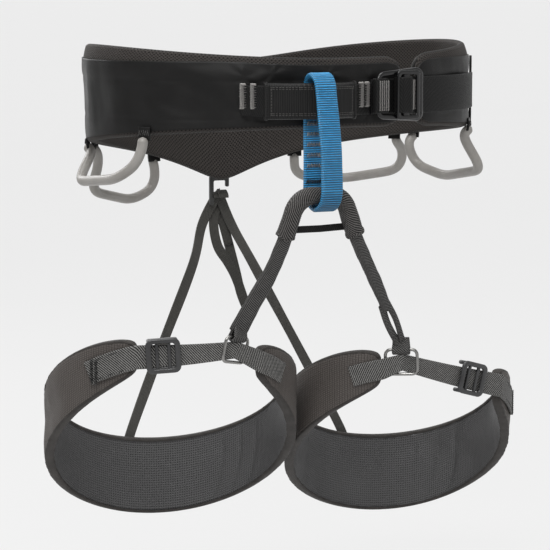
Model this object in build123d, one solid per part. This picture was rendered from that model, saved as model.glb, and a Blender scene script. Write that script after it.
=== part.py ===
from build123d import *
import math
import os

# Climbing harness: padded waist belt, tie-in sleeve, belay loop, leg bridge, two leg loops,
# four gear loops and the elastic risers.  Millimetres.  +Z up, the wearer faces -Y and the
# wearer's left is +X.  The origin is the middle of the waist opening at the belt webbing.

# ---------------------------------------------------------------- driving dimensions
BELT_A = 158.5                 # half width of the belt's outer face, along X
BELT_B = 115.0                 # half depth of the belt's outer face, along Y
BELT_LEAN = 0.03               # the belt leans in at its foot, most on the wearer's right
BELT_START = -64.5             # belt angle of the pad end on the wearer's left, degrees
BELT_END = 290.5               # belt angle of the pad end behind the buckle, degrees
SHELL_T = 1.2                  # woven outer shell
CORE_WEB_T = 1.8               # load webbing inside the belt
FOAM_T = 5.0                   # foam
MESH_T = 1.2                   # spacer mesh lining
LAYER_GAP = 0.2                # between two layers
BINDING_H = 2.0                # height of the bound edge
BELT_WEB_W = 28.0              # waist webbing
STRAP_Z = 1.5                  # its middle above the origin where it shows
WEB_T = 2.0                    # thickness of any load webbing
SKIN_CLEAR = 0.5               # between a webbing and the shell under it

TIE_START, TIE_END = 241.0, 277.5        # tie-in webbing, belt angles
SLEEVE_START, SLEEVE_END = 245.5, 273.0  # the sleeve round it
TIE_BULGE = 13.0               # how far the tie-in webbing stands off the shell
TIE_WEB_W = 23.0
SLEEVE_WALL = 1.3

LOOP_X = -26.2                 # middle of the belay loop
LOOP_W = 18.0
LOOP_T = 3.0
LOOP_TOP, LOOP_BOTTOM = 19.0, -79.2      # centre line heights
LOOP_BACK, LOOP_FRONT = -119.5, -151.5   # centre line of the two strands
TACK_TOP, TACK_PITCH, TACK_BOTTOM = -16.6, 7.8, -59.5   # its rows of bar tacks

BUCKLE_ANGLE = 286.6           # belt angle of the buckle's middle
BUCKLE_W, BUCKLE_H, BUCKLE_T = 45.0, 38.0, 3.4
PLATE_X, PLATE_W, PLATE_WALL, PLATE_T = 4.0, 26.0, 3.4, 2.2   # the sliding plate over it

GEAR_ROD = 8.0                 # diameter of a moulded gear loop
TAB_H, TAB_T = 11.0, 2.0       # sewn tab over each gear loop end

LEG_Y = -13.0                  # middle of a leg loop, front to back
LEG_TURN = 25.0                # turn of its long axis about Z
LEG_SHELL_T, LEG_FOAM_T, LEG_MESH_T = 1.0, 4.2, 1.0
LEG_WEB_W = 18.0
SLIDER_L, SLIDER_H, SLIDER_T = 25.0, 25.0, 2.6
SLIDER_BAR, SLIDER_RAIL = 3.8, 3.0
RING_W, RING_H, RING_BAR = 27.0, 21.6, 2.5
RING_WEB_W = 12.5              # the webbing gathers where it passes through the ring
RING_SKEW = 0.55               # how far the ring's plane turns out of the webbing's
RING_BACK = 1.2                # the ring's middle sits inside the bent webbing

RISER_W, RISER_T = 8.5, 1.6
BRIDGE_D = 9.4                 # folded bridge webbing
BRIDGE_SLEEVE_D = 13.6         # wear sleeve over its arch
BRIDGE_Y = -136.0              # plane of the arch
SLEEVE_FOOT = -98.0            # height where the wear sleeve ends

# Per leg: mirror sign, half axes of the outer face, distance of its middle from the belt's
# middle plane, pad height, mean level, tilt height, angle of the lowest point, the pad's two
# ends (inner, outer), the angle of the ring and the slider's share of the way to the ring
LEGS = {
    "right": dict(side=-1, a=97.0, b=82.0, x=97.6, height=52.0, level=-247.0, tilt=63.0,
                  low=100.0, inner=-43.0, outer=256.0, ring=302.0, slider=0.27),
    "left": dict(side=1, a=100.0, b=84.0, x=101.0, height=55.0, level=-266.5, tilt=59.5,
                 low=130.0, inner=-33.0, outer=254.0, ring=316.0, slider=0.32),
}


def save(node, *pieces):
    """One STEP per node, of one solid or of several separate solids."""
    solids = [s for p in pieces for s in p.solids()]
    shape = solids[0] if len(solids) == 1 else Compound(children=solids)
    export_step(shape, f"parts/{node}.step")


# ---------------------------------------------------------------- soft sections
def section(centre, across, through, width, thick):
    """Closed rectangle round centre: width along across, thick along through."""
    half_w, half_t = across.normalized() * (width / 2), through.normalized() * (thick / 2)
    corners = [centre - half_w - half_t, centre + half_w - half_t,
               centre + half_w + half_t, centre - half_w + half_t]
    return Wire(Polyline(*corners, close=True).edges())


def ribbon(stations, straight=False):
    """Solid through rectangles (centre, across, through, width, thick)."""
    return Solid.make_loft([section(*s) for s in stations], straight)


def steps(first, last, pitch):
    count = max(2, math.ceil(abs(last - first) / pitch))
    return [first + (last - first) * i / count for i in range(count + 1)]


def rounded_end(angle, first, last, reach, least):
    """1 in the middle of a pad, falling on a quarter circle to least at its two ends."""
    gap = min(angle - first, last - angle) / reach
    if gap >= 1:
        return 1.0
    return least + (1 - least) * math.sqrt(max(0.0, 1 - (1 - gap) ** 2))


# ---------------------------------------------------------------- belt geometry
def belt_normal(angle):
    c, s = math.cos(math.radians(angle)), math.sin(math.radians(angle))
    return Vector(c / BELT_A, s / BELT_B, 0).normalized()


def belt_lean(angle):
    return BELT_LEAN * (1 - math.cos(math.radians(angle)))


def belt_up(angle):
    """Up along the leaning face of the belt."""
    return Vector(0, 0, 1) + belt_normal(angle) * belt_lean(angle)


def belt_point(angle, off=0.0, height=0.0):
    """Point off the belt's outer face, at a belt angle."""
    c, s = math.cos(math.radians(angle)), math.sin(math.radians(angle))
    lean = belt_lean(angle) * height
    return Vector(BELT_A * c, BELT_B * s, height) + belt_normal(angle) * (off + lean)


def from_rear(angle):
    """Degrees round the belt from its rear middle, 0 to 180."""
    return abs((angle - 90 + 180) % 360 - 180)


def pad_top(angle):
    s = from_rear(angle)
    return 30.5 + 9.0 * math.sin(math.radians(s)) ** 2 - 9.0 * math.exp(-(s / 28) ** 2)


def pad_bottom(angle):
    s = from_rear(angle)
    return (-21 - 11 * (1 + math.cos(math.radians(s)))
            - 42 * math.exp(-math.hypot(s, 5) / 21))


def shell_top(angle):
    return 30.5 - 9.0 * math.exp(-(from_rear(angle) / 28) ** 2) - BINDING_H


def belt_band(first, last, outer, thick, low, high, end_reach=7.0, least=0.55):
    """Band on the belt: its outer face at offset outer, from low(angle) to high(angle)."""
    stations = []
    for angle in steps(first, last, 8.0):
        top, bottom = high(angle), low(angle)
        full = rounded_end(angle, BELT_START, BELT_END, end_reach, least)
        centre = belt_point(angle, outer - thick / 2, (top + bottom) / 2)
        stations.append((centre, belt_up(angle), belt_normal(angle),
                         (top - bottom) * full, thick))
    return ribbon(stations)


FOAM_OFF = -(SHELL_T + CORE_WEB_T + 2 * LAYER_GAP)
MESH_OFF = FOAM_OFF - FOAM_T - LAYER_GAP
PAD_T = -(MESH_OFF - MESH_T)


def belt():
    def inside_top(angle):
        return pad_top(angle) - BINDING_H - LAYER_GAP

    def inside_bottom(angle):
        return pad_bottom(angle) + BINDING_H + LAYER_GAP

    save("belt_outer_shell", belt_band(BELT_START, BELT_END, 0, SHELL_T, inside_bottom, shell_top))
    save("belt_foam_core", belt_band(BELT_START, BELT_END, FOAM_OFF, FOAM_T,
                                     inside_bottom, inside_top))
    save("belt_inner_mesh", belt_band(BELT_START, BELT_END, MESH_OFF, MESH_T,
                                      inside_bottom, inside_top))
    web_off = -(SHELL_T + LAYER_GAP)
    save("belt_core_webbing", belt_band(BELT_START + 4, BELT_END - 4, web_off, CORE_WEB_T,
                                        lambda a: -BELT_WEB_W / 2, lambda a: BELT_WEB_W / 2))
    run = (BELT_START + 7, BELT_END - 7)
    save("belt_edge_binding",
         belt_band(*run, 0, PAD_T, lambda a: pad_top(a) - BINDING_H, pad_top),
         belt_band(*run, 0, PAD_T, pad_bottom, lambda a: pad_bottom(a) + BINDING_H))
    side = (-22.5, -17.5)
    save("belt_side_binding", belt_band(*side, 1.6, 1.4, lambda a: pad_bottom(a) + 3,
                                        lambda a: shell_top(a) - 1))


# ---------------------------------------------------------------- tie-in, buckle, straps
def tie_off(angle):
    """Offset of the tie-in webbing's back face."""
    part = (angle - TIE_START) / (TIE_END - TIE_START)
    return SKIN_CLEAR + TIE_BULGE * math.sin(math.pi * min(max(part, 0), 1)) ** 1.3


def tie_band(first, last, back, front, height):
    stations = []
    for angle in steps(first, last, 3.0):
        off = tie_off(angle)
        centre = belt_point(angle, off + (back + front) / 2)
        stations.append((centre, Vector(0, 0, 1), belt_normal(angle), height, front - back))
    return ribbon(stations)


def tie_in():
    save("tie_in_webbing", tie_band(TIE_START, TIE_END, 0, WEB_T, TIE_WEB_W))
    outer = tie_band(SLEEVE_START, SLEEVE_END, -SLEEVE_WALL, WEB_T + SLEEVE_WALL,
                     TIE_WEB_W + 2 * SLEEVE_WALL + 1)
    hollow = tie_band(SLEEVE_START - 1, SLEEVE_END + 1, -0.15, WEB_T + 0.15, TIE_WEB_W + 0.6)
    save("tie_in_sleeve", outer - hollow)
    tacks = []
    for middle in (242.4, 244.6, 274.2, 276.2):
        centre = belt_point(middle, tie_off(middle) + WEB_T + 0.5)
        tacks.append(ribbon([(belt_point(middle + d, tie_off(middle + d) + WEB_T + 0.5),
                              Vector(0, 0, 1), belt_normal(middle), TIE_WEB_W - 3, 0.8)
                             for d in (-0.7, 0.7)]))
    save("tie_in_bar_tacks", *tacks)


def strap_band(first, last, off, thick, width):
    return ribbon([(belt_point(a, off + thick / 2, STRAP_Z), Vector(0, 0, 1), belt_normal(a),
                    width, thick) for a in steps(first, last, 4.0)])


def on_buckle(shape):
    """Place a flat shape (X along the belt, Y up) on the belt face at the buckle."""
    facing = belt_normal(BUCKLE_ANGLE)
    along = Vector(-facing.Y, facing.X, 0)
    place = Plane(origin=belt_point(BUCKLE_ANGLE, 0, STRAP_Z + 1), x_dir=along, z_dir=facing)
    return place.location * shape


def framed(width, height, bar, thick, radius):
    """Flat rectangular frame with a window, lying on Z = 0."""
    outer = RectangleRounded(width, height, radius)
    window = RectangleRounded(width - 2 * bar, height - 2 * bar, radius / 2)
    return extrude(outer - window, thick)


def buckle():
    lift = WEB_T + 2 * SKIN_CLEAR + 1.4
    frame = framed(BUCKLE_W, BUCKLE_H, 4.0, BUCKLE_T, 6.0)
    save("buckle_frame", on_buckle(Pos(0, 0, lift) * frame))
    above = lift + BUCKLE_T + 0.5
    plate = Pos(PLATE_X, 0, above) * framed(PLATE_W, BUCKLE_H - 1, PLATE_WALL, PLATE_T, 3.0)
    bar = Pos(PLATE_X, 0, above) * extrude(Rectangle(6.0, BUCKLE_H - 5), PLATE_T)
    lug = Pos(PLATE_X, 0, lift) * extrude(Rectangle(6.0, BUCKLE_H - 9), above - lift + 0.2)
    save("buckle_slide_plate", on_buckle(plate + bar + lug))
    save("waist_strap", strap_band(BUCKLE_ANGLE + 2, 360 - 23.5, SKIN_CLEAR, WEB_T, BELT_WEB_W))
    save("buckle_anchor_webbing",
         strap_band(TIE_END + 0.6, BUCKLE_ANGLE - 0.5, SKIN_CLEAR, WEB_T, BELT_WEB_W - 2))


# ---------------------------------------------------------------- belay loop
def belay():
    place = Plane(origin=(LOOP_X - LOOP_W / 2, 0, 0), x_dir=(0, 1, 0), z_dir=(1, 0, 0))
    corners = [(LOOP_BACK, LOOP_TOP), (-136.0, LOOP_TOP), (-149.0, -36.0),
               (LOOP_FRONT, LOOP_BOTTOM), (LOOP_BACK, LOOP_BOTTOM)]
    radii = [8.0, 8.0, 60.0, 15.0, 15.5]
    outline = Face(Wire(Polyline(*corners, close=True).edges()))
    for corner, radius in zip(corners, radii):
        vertex = min(outline.vertices(), key=lambda v: math.dist((v.X, v.Y), corner))
        outline = outline.fillet_2d(radius, [vertex])
    band = offset(outline, LOOP_T / 2) - offset(outline, -LOOP_T / 2)
    save("belay_loop", place.location * extrude(band, LOOP_W))
    tacks = []
    face = LOOP_BACK - LOOP_T / 2
    for step in range(5):
        height = TACK_TOP - TACK_PITCH * step
        tacks.append(Pos(LOOP_X - 1.5, face - 0.45, height) * Box(9.0, 0.7, 2.0))
    tacks.append(Pos(LOOP_X, face - 0.55, TACK_BOTTOM) * Box(14.0, 0.9, 2.4))
    save("belay_loop_bar_tacks", *tacks)


# ---------------------------------------------------------------- gear loops
GEAR = {
    "gear_loop_front_right": [(-137.0, -58.5, -31.5), (-142.0, -59.0, -47.0),
                              (-151.0, -38.0, -60.0), (-156.5, 28.0, -66.5),
                              (-148.0, 32.0, -53.0), (-136.5, 47.5, -44.0)],
    "gear_loop_front_left": [(136.0, -51.0, -32.0), (145.0, -50.0, -46.0),
                             (154.0, -54.0, -62.0), (156.0, 13.0, -72.0),
                             (147.5, 50.0, -64.0), (138.5, 44.0, -43.5)],
    "gear_loop_rear_right": [(-126.5, 63.0, -46.5), (-123.0, 72.0, -60.0),
                             (-128.0, 78.0, -79.0), (-82.0, 104.0, -90.5),
                             (-56.5, 114.0, -81.0), (-62.0, 104.5, -61.0)],
    "gear_loop_rear_left": [(136.0, 61.0, -45.5), (148.0, 69.0, -53.0),
                            (150.0, 76.0, -71.0), (112.0, 110.0, -80.0),
                            (71.0, 118.0, -77.0), (64.0, 104.0, -60.5)],
}
GEAR_RADII = {
    "gear_loop_front_right": [12.0, 20.0, 5.0, 12.0],
    "gear_loop_front_left": [10.0, 5.0, 20.0, 12.0],
    "gear_loop_rear_right": [10.0, 6.0, 16.0, 10.0],
    "gear_loop_rear_left": [8.0, 8.0, 16.0, 10.0],
}


def gear_loops():
    tabs = []
    for node, points in GEAR.items():
        path = FilletPolyline(*points, radius=GEAR_RADII[node])
        start = Plane(origin=path @ 0, z_dir=path % 0)
        rod = sweep(start * Circle(GEAR_ROD / 2), path=path)
        balls = [Pos(*points[i]) * Sphere(GEAR_ROD / 2) for i in (0, -1)]
        save(node, rod + balls[0] + balls[1])
        for x, y, z in (points[0], points[-1]):
            angle = math.degrees(math.atan2(y / BELT_B, x / BELT_A))
            middle = z + GEAR_ROD / 2 + TAB_H / 2 + 0.5
            tabs.append(ribbon([(belt_point(angle + d, 0.5 + TAB_T / 2, middle), belt_up(angle),
                                 belt_normal(angle), TAB_H, TAB_T) for d in (-2.2, 2.2)]))
    save("gear_loop_tabs", *tabs)


# ---------------------------------------------------------------- rear hook and risers
HOOK = Vector(3.5, 121.5, -80.0)     # middle of the hook's opening


def rear_hook():
    save("rear_hook_tab", Pos(HOOK.X, HOOK.Y - 3.6, HOOK.Z + 13.0) * Box(12.0, 2.4, 18.0))
    back_of_hook = Plane(origin=(HOOK.X, HOOK.Y + 1.6, HOOK.Z), x_dir=(1, 0, 0), z_dir=(0, -1, 0))
    outline = [(-9.0, 5.6), (-7.4, 8.2), (7.0, 8.2), (8.2, 6.6), (8.2, -1.6), (5.4, -1.6),
               (5.4, 2.6), (-5.4, 2.6), (-5.4, -5.0), (7.4, -5.0), (7.4, -8.6), (-5.4, -8.6),
               (-5.4, -17.0), (-9.0, -17.0)]
    flat = Face(Wire(Polyline(*[(x, y) for x, y in outline], close=True).edges()))
    save("riser_hook", back_of_hook.location * extrude(flat, 3.2, dir=(0, 0, 1)))


def riser(node, leg, layer, end_angle):
    """Flat elastic from the hook's lower bar to the back of a leg pad, sewn on its face."""
    outward, back = leg_normal(leg, end_angle), Vector(0, 1, 0)
    top = HOOK + Vector(2.0 * leg["side"], 2.8 + layer * (RISER_T + 0.4), -6.8)
    edge = leg_point(leg, end_angle, RISER_T, leg_height(leg, end_angle) / 2 + 3)
    sewn = leg_point(leg, end_angle, 1.3, leg_height(leg, end_angle) / 2 - 15)
    run = edge - top
    bow = Vector(leg["side"] * 1.5, 0, 0)
    stations = []
    for point, turn in ((top, 0.0), (top + run * 0.13 - back * run.Y * 0.13, 0.0),
                        (top + run * 0.3 - bow, 0.3), (top + run * 0.65, 0.7),
                        (edge, 1.0), (sewn, 1.0)):
        through = back * (1 - turn) + outward * turn
        stations.append((point, run.cross(through), through, RISER_W, RISER_T))
    save(node, ribbon(stations, True))


def adjust_tail():
    top = HOOK + Vector(1.5, 7.4, -7.6)
    route = [Vector(0, 0, 0), Vector(10, -1, -34), Vector(17, -2, -60), Vector(27, -4, -95)]
    turn = Vector(1, 0, 0.28).normalized()
    doubled = [ribbon([(top + p + Vector(0, lift, 0), turn, Vector(0, 1, 0), RISER_W, RISER_T)
                       for p in route]) for lift in (0.0, RISER_T + 0.3)]
    save("riser_adjust_tail", *doubled)


# ---------------------------------------------------------------- leg loops
def leg_frame(leg):
    """Unit vectors of the leg oval: towards the inner front, and across it to the rear."""
    c, s = math.cos(math.radians(LEG_TURN)), math.sin(math.radians(LEG_TURN))
    side = leg["side"]
    return Vector(-side * c, -s, 0), Vector(-side * s, c, 0)


def leg_middle(leg, angle):
    return leg["level"] - leg["tilt"] * math.cos(math.radians(angle - leg["low"]))


def leg_point(leg, angle, off=0.0, height=0.0):
    """Point off the leg pad's outer face; height is measured from the pad's middle."""
    long_way, short_way = leg_frame(leg)
    c, s = math.cos(math.radians(angle)), math.sin(math.radians(angle))
    base = Vector(leg["side"] * leg["x"], LEG_Y, leg_middle(leg, angle) + height)
    reach = long_way * (leg["a"] * c) + short_way * (leg["b"] * s)
    return base + reach + leg_normal(leg, angle) * off


def leg_normal(leg, angle):
    long_way, short_way = leg_frame(leg)
    c, s = math.cos(math.radians(angle)), math.sin(math.radians(angle))
    return (long_way * (c / leg["a"]) + short_way * (s / leg["b"])).normalized()


def leg_height(leg, angle):
    full = leg["height"] + 9.0 * math.cos(math.radians(angle - leg["low"]))
    return full * rounded_end(angle, leg["inner"], leg["outer"], 52.0, 0.42)


def leg_band(leg, outer, thick, low, high):
    """Band of the leg pad; low and high are shares of its height plus a margin."""
    stations = []
    for angle in steps(leg["inner"], leg["outer"], 9.0):
        half = leg_height(leg, angle) / 2
        bottom, top = low[0] * half + low[1], high[0] * half + high[1]
        centre = leg_point(leg, angle, outer - thick / 2, (top + bottom) / 2)
        stations.append((centre, Vector(0, 0, 1), leg_normal(leg, angle), top - bottom, thick))
    return ribbon(stations)


def leg_pad(name, leg):
    margin = BINDING_H + 2.5 * LAYER_GAP
    full = ((-1, margin), (1, -margin))
    foam_off = -(LEG_SHELL_T + LAYER_GAP)
    mesh_off = foam_off - LEG_FOAM_T - LAYER_GAP
    save(f"leg_outer_shell_{name}", leg_band(leg, 0, LEG_SHELL_T, *full))
    save(f"leg_foam_core_{name}", leg_band(leg, foam_off, LEG_FOAM_T, *full))
    save(f"leg_inner_mesh_{name}", leg_band(leg, mesh_off, LEG_MESH_T, *full))
    pad = LEG_MESH_T - mesh_off
    save(f"leg_edge_binding_{name}",
         leg_band(leg, 0, pad, (1, -BINDING_H), (1, 0)),
         leg_band(leg, 0, pad, (-1, 0), (-1, BINDING_H)))


def ring_centre(leg):
    return leg_point(leg, leg["ring"], 1.0, 3.5)


def leg_webbing(name, leg):
    """Webbing sewn on the outer pad end, straight to the ring, straight to the inner end."""
    off = SKIN_CLEAR + WEB_T / 2
    up = Vector(0, 0, 1)
    outer_run = steps(leg["outer"] - 22, leg["outer"] + 1, 6.0)
    inner_run = steps(359 + leg["inner"], 374 + leg["inner"], 5.0)
    outer = [leg_point(leg, a, off) for a in outer_run]
    inner = [leg_point(leg, a, off) for a in inner_run]
    ring = ring_centre(leg)
    facing = [leg_normal(leg, a) for a in outer_run + [leg["ring"]] + inner_run]
    widths = [LEG_WEB_W] * len(outer) + [RING_WEB_W] + [LEG_WEB_W - 2] * len(inner)
    stations = list(zip(outer + [ring] + inner, [up] * len(widths), facing, widths,
                        [WEB_T] * len(widths)))
    save(f"leg_webbing_{name}", ribbon(stations, True))
    tack = leg["outer"] - 20
    save(f"leg_webbing_bar_tack_{name}",
         ribbon([(leg_point(leg, tack + d, 2 * off + 0.3), up, leg_normal(leg, tack),
                  LEG_WEB_W + 2, 0.8) for d in (-0.9, 0.9)]))
    straight, turned = (ring - outer[-1]).normalized(), (inner[0] - ring).normalized()
    return outer[-1], ring - outer[-1], straight, turned


def leg_slider(name, leg, start, way):
    """Ladder slider: end bars in front of the strap, middle bar behind it, two side rails."""
    facing = way.cross(Vector(0, 0, 1)).normalized() * -leg["side"]
    place = Plane(origin=start + way * leg["slider"], x_dir=way, z_dir=facing).location
    lift = WEB_T / 2 + 2 * SKIN_CLEAR
    end_x, rail_y = (SLIDER_L - SLIDER_BAR) / 2, (SLIDER_H - SLIDER_RAIL) / 2
    ends = [Pos(x, 0, lift + SLIDER_T / 2) * Box(SLIDER_BAR, SLIDER_H, SLIDER_T)
            for x in (-end_x, end_x)]
    middle = Pos(0, 0, -lift - 1.2) * Box(SLIDER_BAR, SLIDER_H, 2.4)
    deep = 2 * lift + SLIDER_T + 2.4
    rails = [Pos(0, y, (SLIDER_T - 2.4) / 2) * Box(SLIDER_L, SLIDER_RAIL, deep)
             for y in (-rail_y, rail_y)]
    save(f"leg_slider_{name}", place * (ends[0] + ends[1] + middle + rails[0] + rails[1]))


def leg_ring(name, leg, before, after):
    """Bar ring through which the leg webbing passes; the bridge foot wraps its top bar."""
    tangent = (before + after).normalized()
    outward = tangent.cross(Vector(0, 0, 1)).normalized() * -leg["side"]
    up = (Vector(0, 0, 1) - tangent * tangent.Z).normalized()
    wide = (tangent - outward * RING_SKEW).normalized()
    place = Plane(origin=ring_centre(leg) - outward * RING_BACK, x_dir=wide,
                  z_dir=wide.cross(up))
    half_w, half_h = (RING_W - RING_BAR) / 2, (RING_H - RING_BAR) / 2
    path = Wire(Polyline((0, -half_h), (half_w, -half_h), (half_w, half_h), (-half_w, half_h),
                         (-half_w, -half_h), close=True).edges())
    path = path.fillet_2d(4.0, [v for v in path.vertices() if abs(v.X) > 1])
    ring = sweep(Plane(origin=(0, -half_h, 0), z_dir=(1, 0, 0)) * Circle(RING_BAR / 2), path=path)
    save(f"leg_ring_{name}", place.location * ring)
    return place.origin + up * half_h, wide


def legs():
    tops = {}
    for name, leg in LEGS.items():
        leg_pad(name, leg)
        start, way, before, after = leg_webbing(name, leg)
        leg_slider(name, leg, start, way)
        tops[name] = leg_ring(name, leg, before, after)
    return tops


# ---------------------------------------------------------------- leg bridge
def foot(top, wide):
    """Folded end of the bridge round a ring's top bar."""
    place = Plane(origin=top, x_dir=wide, z_dir=wide.cross(Vector(0, 0, 1)))
    eye = Pos(0, 1.6, 0) * Box(13.0, 8.0, 7.0)
    return place.location * (eye - Rot(0, 90, 0) * Cylinder(RING_BAR / 2 + 0.3, 20))


def bridge(tops):
    right, right_wide = tops["right"]
    left, left_wide = tops["left"]
    points = [right + Vector(0, 0, 4.0), right + Vector(20, -17, 50),
              Vector(-54, BRIDGE_Y + 4, -95), Vector(-47, BRIDGE_Y, -68.5),
              Vector(-10.5, BRIDGE_Y, -68.5), Vector(1, BRIDGE_Y + 4, -97),
              left + Vector(-31, -20, 52), left + Vector(0, 0, 4.0)]
    path = FilletPolyline(*points, radius=[60.0, 60.0, 15.0, 15.0, 60.0, 60.0])
    tube = sweep(Plane(origin=path @ 0, z_dir=path % 0) * Circle(BRIDGE_D / 2), path=path)
    save("leg_bridge", tube + foot(right, right_wide) + foot(left, left_wide))
    shares = [i / 200 for i in range(201)]
    under = [f for f in shares if (path @ f).Z > SLEEVE_FOOT]
    arch = path.trim(under[0], under[-1])
    wall = Circle(BRIDGE_SLEEVE_D / 2) - Circle(BRIDGE_D / 2 + 0.4)
    save("bridge_sleeve", sweep(Plane(origin=arch @ 0, z_dir=arch % 0) * wall, path=arch))
    reach = BRIDGE_SLEEVE_D / 2 + 2.2
    ends = [(path @ f) + Vector(way * reach, 0, 4) for f, way in ((under[0], 1), (under[-1], -1))]
    save("bridge_spacer_strap", ribbon([(p, Vector(0, 0, 1), Vector(0, 1, 0), 5.4, 1.4)
                                        for p in ends]))


os.makedirs("parts", exist_ok=True)
belt()
tie_in()
buckle()
belay()
gear_loops()
rear_hook()
adjust_tail()
ring_tops = legs()
bridge(ring_tops)
riser("riser_strap_right", LEGS["right"], 0, 111.0)
riser("riser_strap_left", LEGS["left"], 1, 107.0)
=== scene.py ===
import math
import random

import bpy
import numpy as np
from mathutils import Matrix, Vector, noise


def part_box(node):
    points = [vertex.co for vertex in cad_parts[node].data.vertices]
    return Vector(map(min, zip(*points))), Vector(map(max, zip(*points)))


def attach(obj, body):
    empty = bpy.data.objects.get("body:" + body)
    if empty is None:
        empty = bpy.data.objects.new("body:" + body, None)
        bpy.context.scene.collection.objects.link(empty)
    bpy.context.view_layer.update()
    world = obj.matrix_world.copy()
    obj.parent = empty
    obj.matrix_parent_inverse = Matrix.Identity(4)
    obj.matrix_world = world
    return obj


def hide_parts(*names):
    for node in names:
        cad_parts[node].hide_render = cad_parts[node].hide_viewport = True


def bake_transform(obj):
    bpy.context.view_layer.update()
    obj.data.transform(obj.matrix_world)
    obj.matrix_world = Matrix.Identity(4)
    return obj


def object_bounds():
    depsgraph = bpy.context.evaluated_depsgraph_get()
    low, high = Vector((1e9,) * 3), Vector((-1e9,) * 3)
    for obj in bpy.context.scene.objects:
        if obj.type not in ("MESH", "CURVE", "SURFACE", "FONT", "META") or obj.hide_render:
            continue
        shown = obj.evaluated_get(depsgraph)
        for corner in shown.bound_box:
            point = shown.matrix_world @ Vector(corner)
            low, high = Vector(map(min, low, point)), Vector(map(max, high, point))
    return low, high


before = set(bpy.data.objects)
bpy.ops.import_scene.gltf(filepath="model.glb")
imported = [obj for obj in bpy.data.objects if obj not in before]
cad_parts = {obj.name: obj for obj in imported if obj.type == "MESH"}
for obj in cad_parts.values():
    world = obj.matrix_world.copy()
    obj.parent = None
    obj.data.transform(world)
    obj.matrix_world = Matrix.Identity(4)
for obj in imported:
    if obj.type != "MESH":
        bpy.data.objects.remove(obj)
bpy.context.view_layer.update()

# Looks of the climbing harness.  Shapes are worked out in millimetres in the row frame and
# become metres when a mesh is made.  Every length below is a size of the real object.
MM = 0.001


def box_mm(node):
    low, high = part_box(node)
    return np.array(low) / MM, np.array(high) / MM


def centre_mm(node):
    low, high = box_mm(node)
    return (low + high) / 2


# ---------------------------------------------------------------- small geometry tools
def vec(*v):
    return np.array(v, float)


def unit(v):
    v = np.asarray(v, float)
    return v / np.maximum(np.linalg.norm(v, axis=-1, keepdims=True), 1e-9)


UP = vec(0, 0, 1)


def lengths(path):
    gaps = np.linalg.norm(np.diff(path, axis=0), axis=1)
    return np.concatenate([[0.0], np.cumsum(gaps)])


def resample(path, step, *others):
    """Even steps along a path, other per-point values carried along."""
    run = lengths(path)
    count = max(2, int(round(run[-1] / step)) + 1)
    at = np.linspace(0, run[-1], count)
    out = []
    for values in (path, *others):
        values = np.asarray(values, float)
        if values.ndim == 1:
            out.append(np.interp(at, run, values))
        else:
            out.append(np.stack([np.interp(at, run, values[:, k])
                                 for k in range(values.shape[1])], 1))
    return out if others else out[0]


def spline(points, step, *others):
    """Catmull-Rom curve through the points at even steps."""
    pts = np.asarray(points, float)
    ext = np.vstack([2 * pts[0] - pts[1], pts, 2 * pts[-1] - pts[-2]])
    fine, where = [], []
    for i in range(len(pts) - 1):
        p0, p1, p2, p3 = ext[i:i + 4]
        for t in np.linspace(0, 1, 24, endpoint=False):
            fine.append(0.5 * (2 * p1 + (p2 - p0) * t + (2 * p0 - 5 * p1 + 4 * p2 - p3) * t * t
                               + (3 * p1 - p0 - 3 * p2 + p3) * t ** 3))
            where.append(i + t)
    fine.append(pts[-1])
    where.append(len(pts) - 1)
    carried = []
    for values in others:
        values = np.asarray(values, float)
        index = np.arange(len(pts))
        if values.ndim == 1:
            carried.append(np.interp(where, index, values))
        else:
            carried.append(np.stack([np.interp(where, index, values[:, k])
                                     for k in range(values.shape[1])], 1))
    return resample(np.array(fine), step, *carried)


def rounded(points, radii, step, closed=False):
    """Polyline with its corners rounded, at even steps."""
    pts = [np.asarray(p, float) for p in points]
    fine = [] if closed else [pts[0]]
    inner = range(len(pts)) if closed else range(1, len(pts) - 1)
    for k in inner:
        a, b, c = pts[k - 1], pts[k], pts[(k + 1) % len(pts)]
        to_a, to_c = unit(a - b), unit(c - b)
        turn = math.acos(np.clip(-(to_a @ to_c), -1, 1))
        radius = radii[k if closed else k - 1] if hasattr(radii, "__len__") else radii
        reach = radius * math.tan(turn / 2)
        reach = min(reach, 0.49 * np.linalg.norm(a - b), 0.49 * np.linalg.norm(c - b))
        for t in np.linspace(0, 1, 12):
            fine.append((1 - t) ** 2 * (b + to_a * reach) + 2 * t * (1 - t) * (b + (to_a + to_c) * reach * 0.12)
                        + t * t * (b + to_c * reach))
    if closed:
        fine.append(fine[0])
    else:
        fine.append(pts[-1])
    return resample(np.array(fine), step)


def tangents(path, closed=False):
    if closed:
        ahead = np.roll(path[:-1], -1, 0)
        behind = np.roll(path[:-1], 1, 0)
        t = unit(ahead - behind)
        return np.vstack([t, t[:1]])
    return unit(np.gradient(path, axis=0))


def rough(p, scale, seed=0.0):
    return noise.noise(Vector((p[0] / scale + seed, p[1] / scale, p[2] / scale - seed)))


def ripple(points, scale, seed=0.0):
    flat = points.reshape(-1, 3)
    return np.array([rough(p, scale, seed) for p in flat]).reshape(points.shape[:-1])


# ---------------------------------------------------------------- meshes
def piece(name, verts, faces, uvs, material):
    mesh = bpy.data.meshes.new(name)
    mesh.from_pydata([tuple(v) for v in np.asarray(verts) * MM], [], faces)
    layer = mesh.uv_layers.new(name="UVMap")
    layer.data.foreach_set("uv", np.asarray(uvs, np.float32).ravel())
    for polygon in mesh.polygons:
        polygon.use_smooth = True
    mesh.materials.append(material)
    obj = bpy.data.objects.new(name, mesh)
    bpy.context.scene.collection.objects.link(obj)
    return obj


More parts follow.
